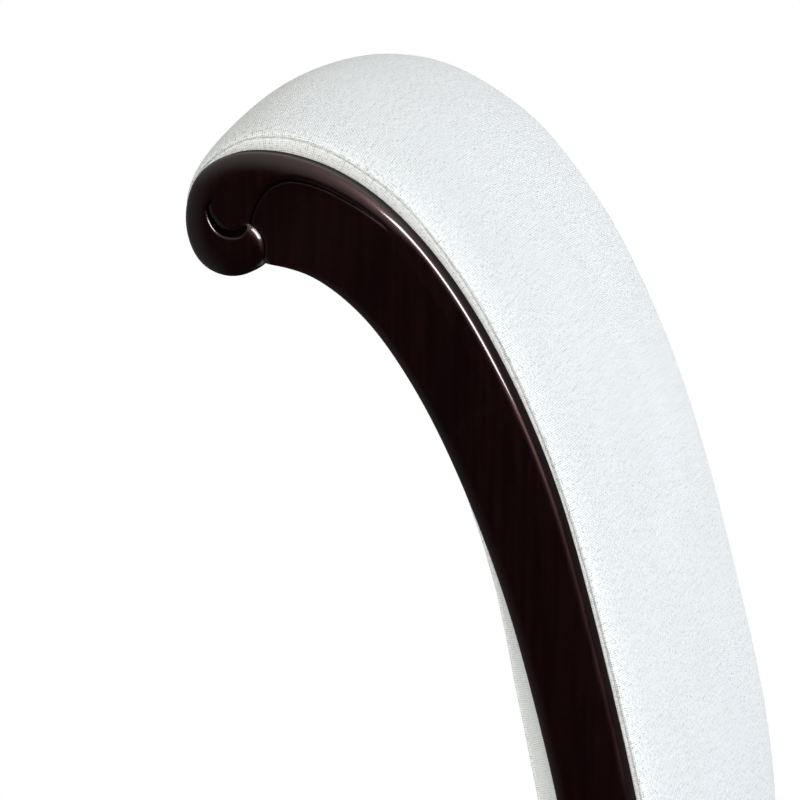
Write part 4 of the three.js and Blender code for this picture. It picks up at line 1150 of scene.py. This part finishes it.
def seat_plan():
    """The seat's round-cornered outline, [x, y] from its middle, by quarters from corner to corner.

    Each corner is a parabola between its two sides. Half of it starts a quarter and half of the
    next one ends it, with straight steps between them.
    """
    corners = [(half_between(q, SEAT_DEPTH_IN) * s, SEAT_MIDDLE - q) for s, q in (
        (1, SEAT_FRONT), (1, SEAT_BACK), (-1, SEAT_BACK), (-1, SEAT_FRONT))]
    steps = 2 * SEAT_RINGS
    line = []
    for i, here in enumerate(corners):
        here, after, before = (np.array(corners[(i + k) % 4], float) for k in (0, 1, -1))
        beyond = np.array(corners[(i + 2) % 4], float)
        t = np.linspace(0.5, 1, CORNER_STEPS + 1)[:, None]

        def bend(came, corner, goes, t):
            """Points of the parabola round a corner, at shares of the way."""
            start = corner + (came - corner) / np.linalg.norm(came - corner) * SEAT_CORNER
            end = corner + (goes - corner) / np.linalg.norm(goes - corner) * SEAT_CORNER
            return start * (1 - t) ** 2 + 2 * corner * t * (1 - t) + end * t ** 2

        leave = bend(before, here, after, t)
        arrive = bend(here, after, beyond, t - 0.5)
        straight = np.linspace(leave[-1], arrive[0], steps - 2 * CORNER_STEPS + 1)
        line.append(np.vstack([leave, straight[1:], arrive[1:-1]]))
    return np.vstack(line)


def seat_grid():
    """Square grid of points: each one's ring, its place round the outline, and the crown's height there.

    The crown is the product of 1 less a power of the way to the shoulder, over both ways.
    """
    n = SEAT_RINGS
    a, b = np.meshgrid(np.arange(-n, n + 1), np.arange(-n, n + 1), indexing="ij")
    ring = np.maximum(np.abs(a), np.abs(b))
    safe = np.maximum(ring, 1)
    turn = np.select(
        [(a == ring) & (b < ring), (b == ring) & (a > -ring), (a == -ring) & (b > -ring)],
        [(b + ring) / (2 * safe), 1 + (ring - a) / (2 * safe), 2 + (ring - b) / (2 * safe)],
        3 + (a + ring) / (2 * safe))
    shares = np.minimum(np.abs([a, b]) / (n - SHOULDER_RINGS), 1)
    crown = SEAT_CROWN * (1 - shares ** CROWN_SQUARENESS).prod(axis=0)
    return ring.ravel(), (turn % 4).ravel(), crown.ravel()


def seat_section():
    """Insets of the grid's rings from the middle out, and their drop below the edge of the crown.

    The rings are level as far as the shoulder, which is a quarter circle.
    """
    turn = np.radians(np.linspace(0, 90, SHOULDER_RINGS + 1))
    flat = SEAT_RINGS - SHOULDER_RINGS
    inset = np.concatenate([
        np.linspace(SEAT_HALF, SEAT_SHOULDER, flat + 1)[:-1], SEAT_SHOULDER * (1 - np.sin(turn))])
    return inset, np.concatenate([np.zeros(flat), SEAT_SHOULDER * (1 - np.cos(turn))])


def blown_up(points, faces, held):
    """Points of a cover after its cloth is blown up with its lowest edge held, no further than the swell.

    A stand-in is simulated for twenty frames and taken away again.
    """
    mesh = bpy.data.meshes.new("seat_trial")
    mesh.from_pydata(points.tolist(), [], faces.tolist())
    trial = linked("seat_trial", mesh)
    trial.vertex_groups.new(name="held").add(held.tolist(), 1.0, "REPLACE")
    cloth = trial.modifiers.new("cloth", "CLOTH")
    cloth.settings.quality = 5
    cloth.settings.mass = 0.12
    cloth.settings.tension_stiffness = 12
    cloth.settings.compression_stiffness = 12
    cloth.settings.shear_stiffness = 6
    cloth.settings.bending_stiffness = 1.5
    cloth.settings.use_pressure = True
    cloth.settings.uniform_pressure_force = 4
    cloth.settings.effector_weights.gravity = 0
    cloth.settings.vertex_group_mass = "held"
    scene = bpy.context.scene
    for moment in range(CLOTH_MOMENTS):
        scene.frame_set(moment + 1)
    blown = trial.evaluated_get(bpy.context.evaluated_depsgraph_get()).to_mesh()
    after = np.empty(len(points) * 3)
    blown.vertices.foreach_get("co", after)
    bpy.data.objects.remove(trial)
    bpy.data.meshes.remove(mesh)
    scene.frame_set(1)
    moved = after.reshape(-1, 3) - points
    far = np.maximum(np.linalg.norm(moved, axis=1, keepdims=True), 1e-9)
    most = SEAT_SWELL / 1000
    return points + moved / far * most * np.tanh(far / most)


def seat_cushion():
    """The wrapped cushion: its mesh, and each point's way across and along the cloth.

    Rings of points shrink with the outline towards the middle. Past the shoulder the cloth lies
    unfolded outwards. Two pleats are pressed in at each corner by a pair of rounded grooves.
    """
    plan = seat_plan()
    around, below = len(plan), len(SEAT_SIDE) + len(SEAT_UNDER)
    ring, turn, crown = seat_grid()
    inset, fallen = seat_section()
    height = SEAT_EDGE - fallen
    closed = np.vstack([plan, plan[:1]])
    spot = turn * (around / 4)
    line = np.column_stack([np.interp(spot, np.arange(around + 1), closed[:, i]) for i in (0, 1)])

    def placed(at, inset_here, z):
        """World points of outline points at a height, drawn in towards the middle."""
        flat = at * (1 - inset_here / SEAT_HALF)
        return np.column_stack([flat[:, 0], flat[:, 1] + DATUM - SEAT_MIDDLE, np.broadcast_to(z, len(at))])

    top = placed(line, inset[ring][:, None], height[ring] + crown)
    edge = np.flatnonzero(ring == SEAT_RINGS)
    edge = edge[np.argsort(turn[edge])]
    side = [placed(plan, i, z) for i, z in SEAT_SIDE]
    points = np.vstack([top, *side]) / 1000
    square = grid_faces(2 * SEAT_RINGS + 1, 2 * SEAT_RINGS + 1)
    rings = [edge, *(len(top) + k * around + np.arange(around) for k in range(below))]

    def between(low, high):
        """Quads between two rings of points."""
        return np.stack([low, np.roll(low, -1), np.roll(high, -1), high], axis=-1)

    faces = [square, *(between(a, b) for a, b in zip(rings[:-1], rings[1:]))]
    cover = 1 + len(SEAT_SIDE)
    points = blown_up(points, np.vstack(faces[:cover]), rings[len(SEAT_SIDE)])

    # Pleats, by the distance round the outline to the nearest corner and the way down the side.
    shoulder = SEAT_RINGS - SHOULDER_RINGS
    run = run_of(closed)
    corners = run[np.arange(5) * around // 4]
    spots = np.concatenate([spot, np.tile(np.arange(around), len(SEAT_SIDE))])
    here = np.interp(spots, np.arange(around + 1), run)
    to_corner = np.abs(here[:, None] - corners).min(axis=1)
    drop = np.concatenate([height[ring], *(np.full(around, z) for _, z in SEAT_SIDE)])
    outer = np.concatenate([ring >= shoulder, np.full(around * len(SEAT_SIDE), True)])
    down = smooth((SEAT_EDGE + 0.5 - drop) / PLEAT_RISE)
    groove = PLEAT_DEPTH * np.exp(-((to_corner - PLEAT_AT) / PLEAT_WIDTH) ** 2) * down * outer
    middle = np.array([0, DATUM - SEAT_MIDDLE]) / 1000
    inward = middle - points[:, :2]
    inward /= np.maximum(np.linalg.norm(inward, axis=1, keepdims=True), 1e-9)
    points[:, :2] += inward * groove[:, None] / 1000

    under = [placed(plan, i, z) / 1000 for i, z in SEAT_UNDER]
    points = np.vstack([points, *under])
    # The cloth's ways: flat on top, then outwards from the shoulder by the distance round the section.
    section = np.array([*zip(inset[shoulder:], height[shoulder:]), *SEAT_SIDE, *SEAT_UNDER])
    past = run_of(section)
    normal = left_of(plan, closed=True)
    normal *= np.sign((normal * plan).sum(1))[:, None]
    level = 1 - SEAT_SHOULDER / SEAT_HALF
    flat = line * (1 - inset[ring][:, None] / SEAT_HALF)
    nearby = np.round(spot).astype(int) % around
    unfolded = line * level + normal[nearby] * past[np.maximum(ring - shoulder, 0)][:, None]
    flat = np.where(ring[:, None] > shoulder, unfolded, flat)
    rest = [plan * level + normal * past[SHOULDER_RINGS + 1 + k] for k in range(below)]
    ways = np.vstack([flat, *rest]) / 1000
    return body_mesh("seat_cushion", points, np.vstack(faces), [rings[-1]], sharp=70), ways[:, 0], ways[:, 1]


seat, across, along = seat_cushion()
lay_cloth(seat, across, along)
seat.data.materials.append(linen)
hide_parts("seat_cover", "seat_foam")
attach(seat, "root")


# Dust cover
# Black cambric stapled under the board over the turned-under linen, its edges folded in.

DUST_EDGE = [
    (30, 430.55), (12.5, 430.5), (10.4, 430.6), (10, 430.9), (10.4, 431.2), (12.5, 431.3), (14, 431.05),
    (30, 431.05),
]


def cambric():
    """Matt felted cloth with a fine crossing grain."""
    finish = Finish("cambric", Dark=(0.01, 0.01, 0.01, 1), Light=(0.03, 0.03, 0.03, 1))
    place = finish.add("ShaderNodeTexCoord", {})["Object"]
    fibres = finish.math("MAXIMUM", finish.noise(finish.scaled(place, (1600, 200, 1)), 1.0, 2.0),
                         finish.noise(finish.scaled(place, (200, 1600, 1)), 1.0, 2.0))
    finish.two_tone(finish.ease(fibres, 0.4, 0.75))
    finish.give("Roughness", finish.ease(fibres, 0.3, 0.8, 0.98, 0.88))
    finish.give("Height", fibres)
    return finish.tree


outline = seat_plan()
rows = np.stack([
    np.column_stack([outline * (1 - i / SEAT_HALF) + (0, DATUM - SEAT_MIDDLE), np.full(len(outline), z)])
    for i, z in DUST_EDGE]) / 1000
dust_cover = swept_body("dust_cover", rows, sharp=40)
dust_cover.data.materials.append(surfaced(
    "black_cambric", cambric(), {"Dark": linear(16, 16, 17), "Light": linear(38, 38, 40)}, 0.4, 0.0002,
    Specular_IOR_Level=0.15))
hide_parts("seat_dust_cover")
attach(dust_cover, "root")
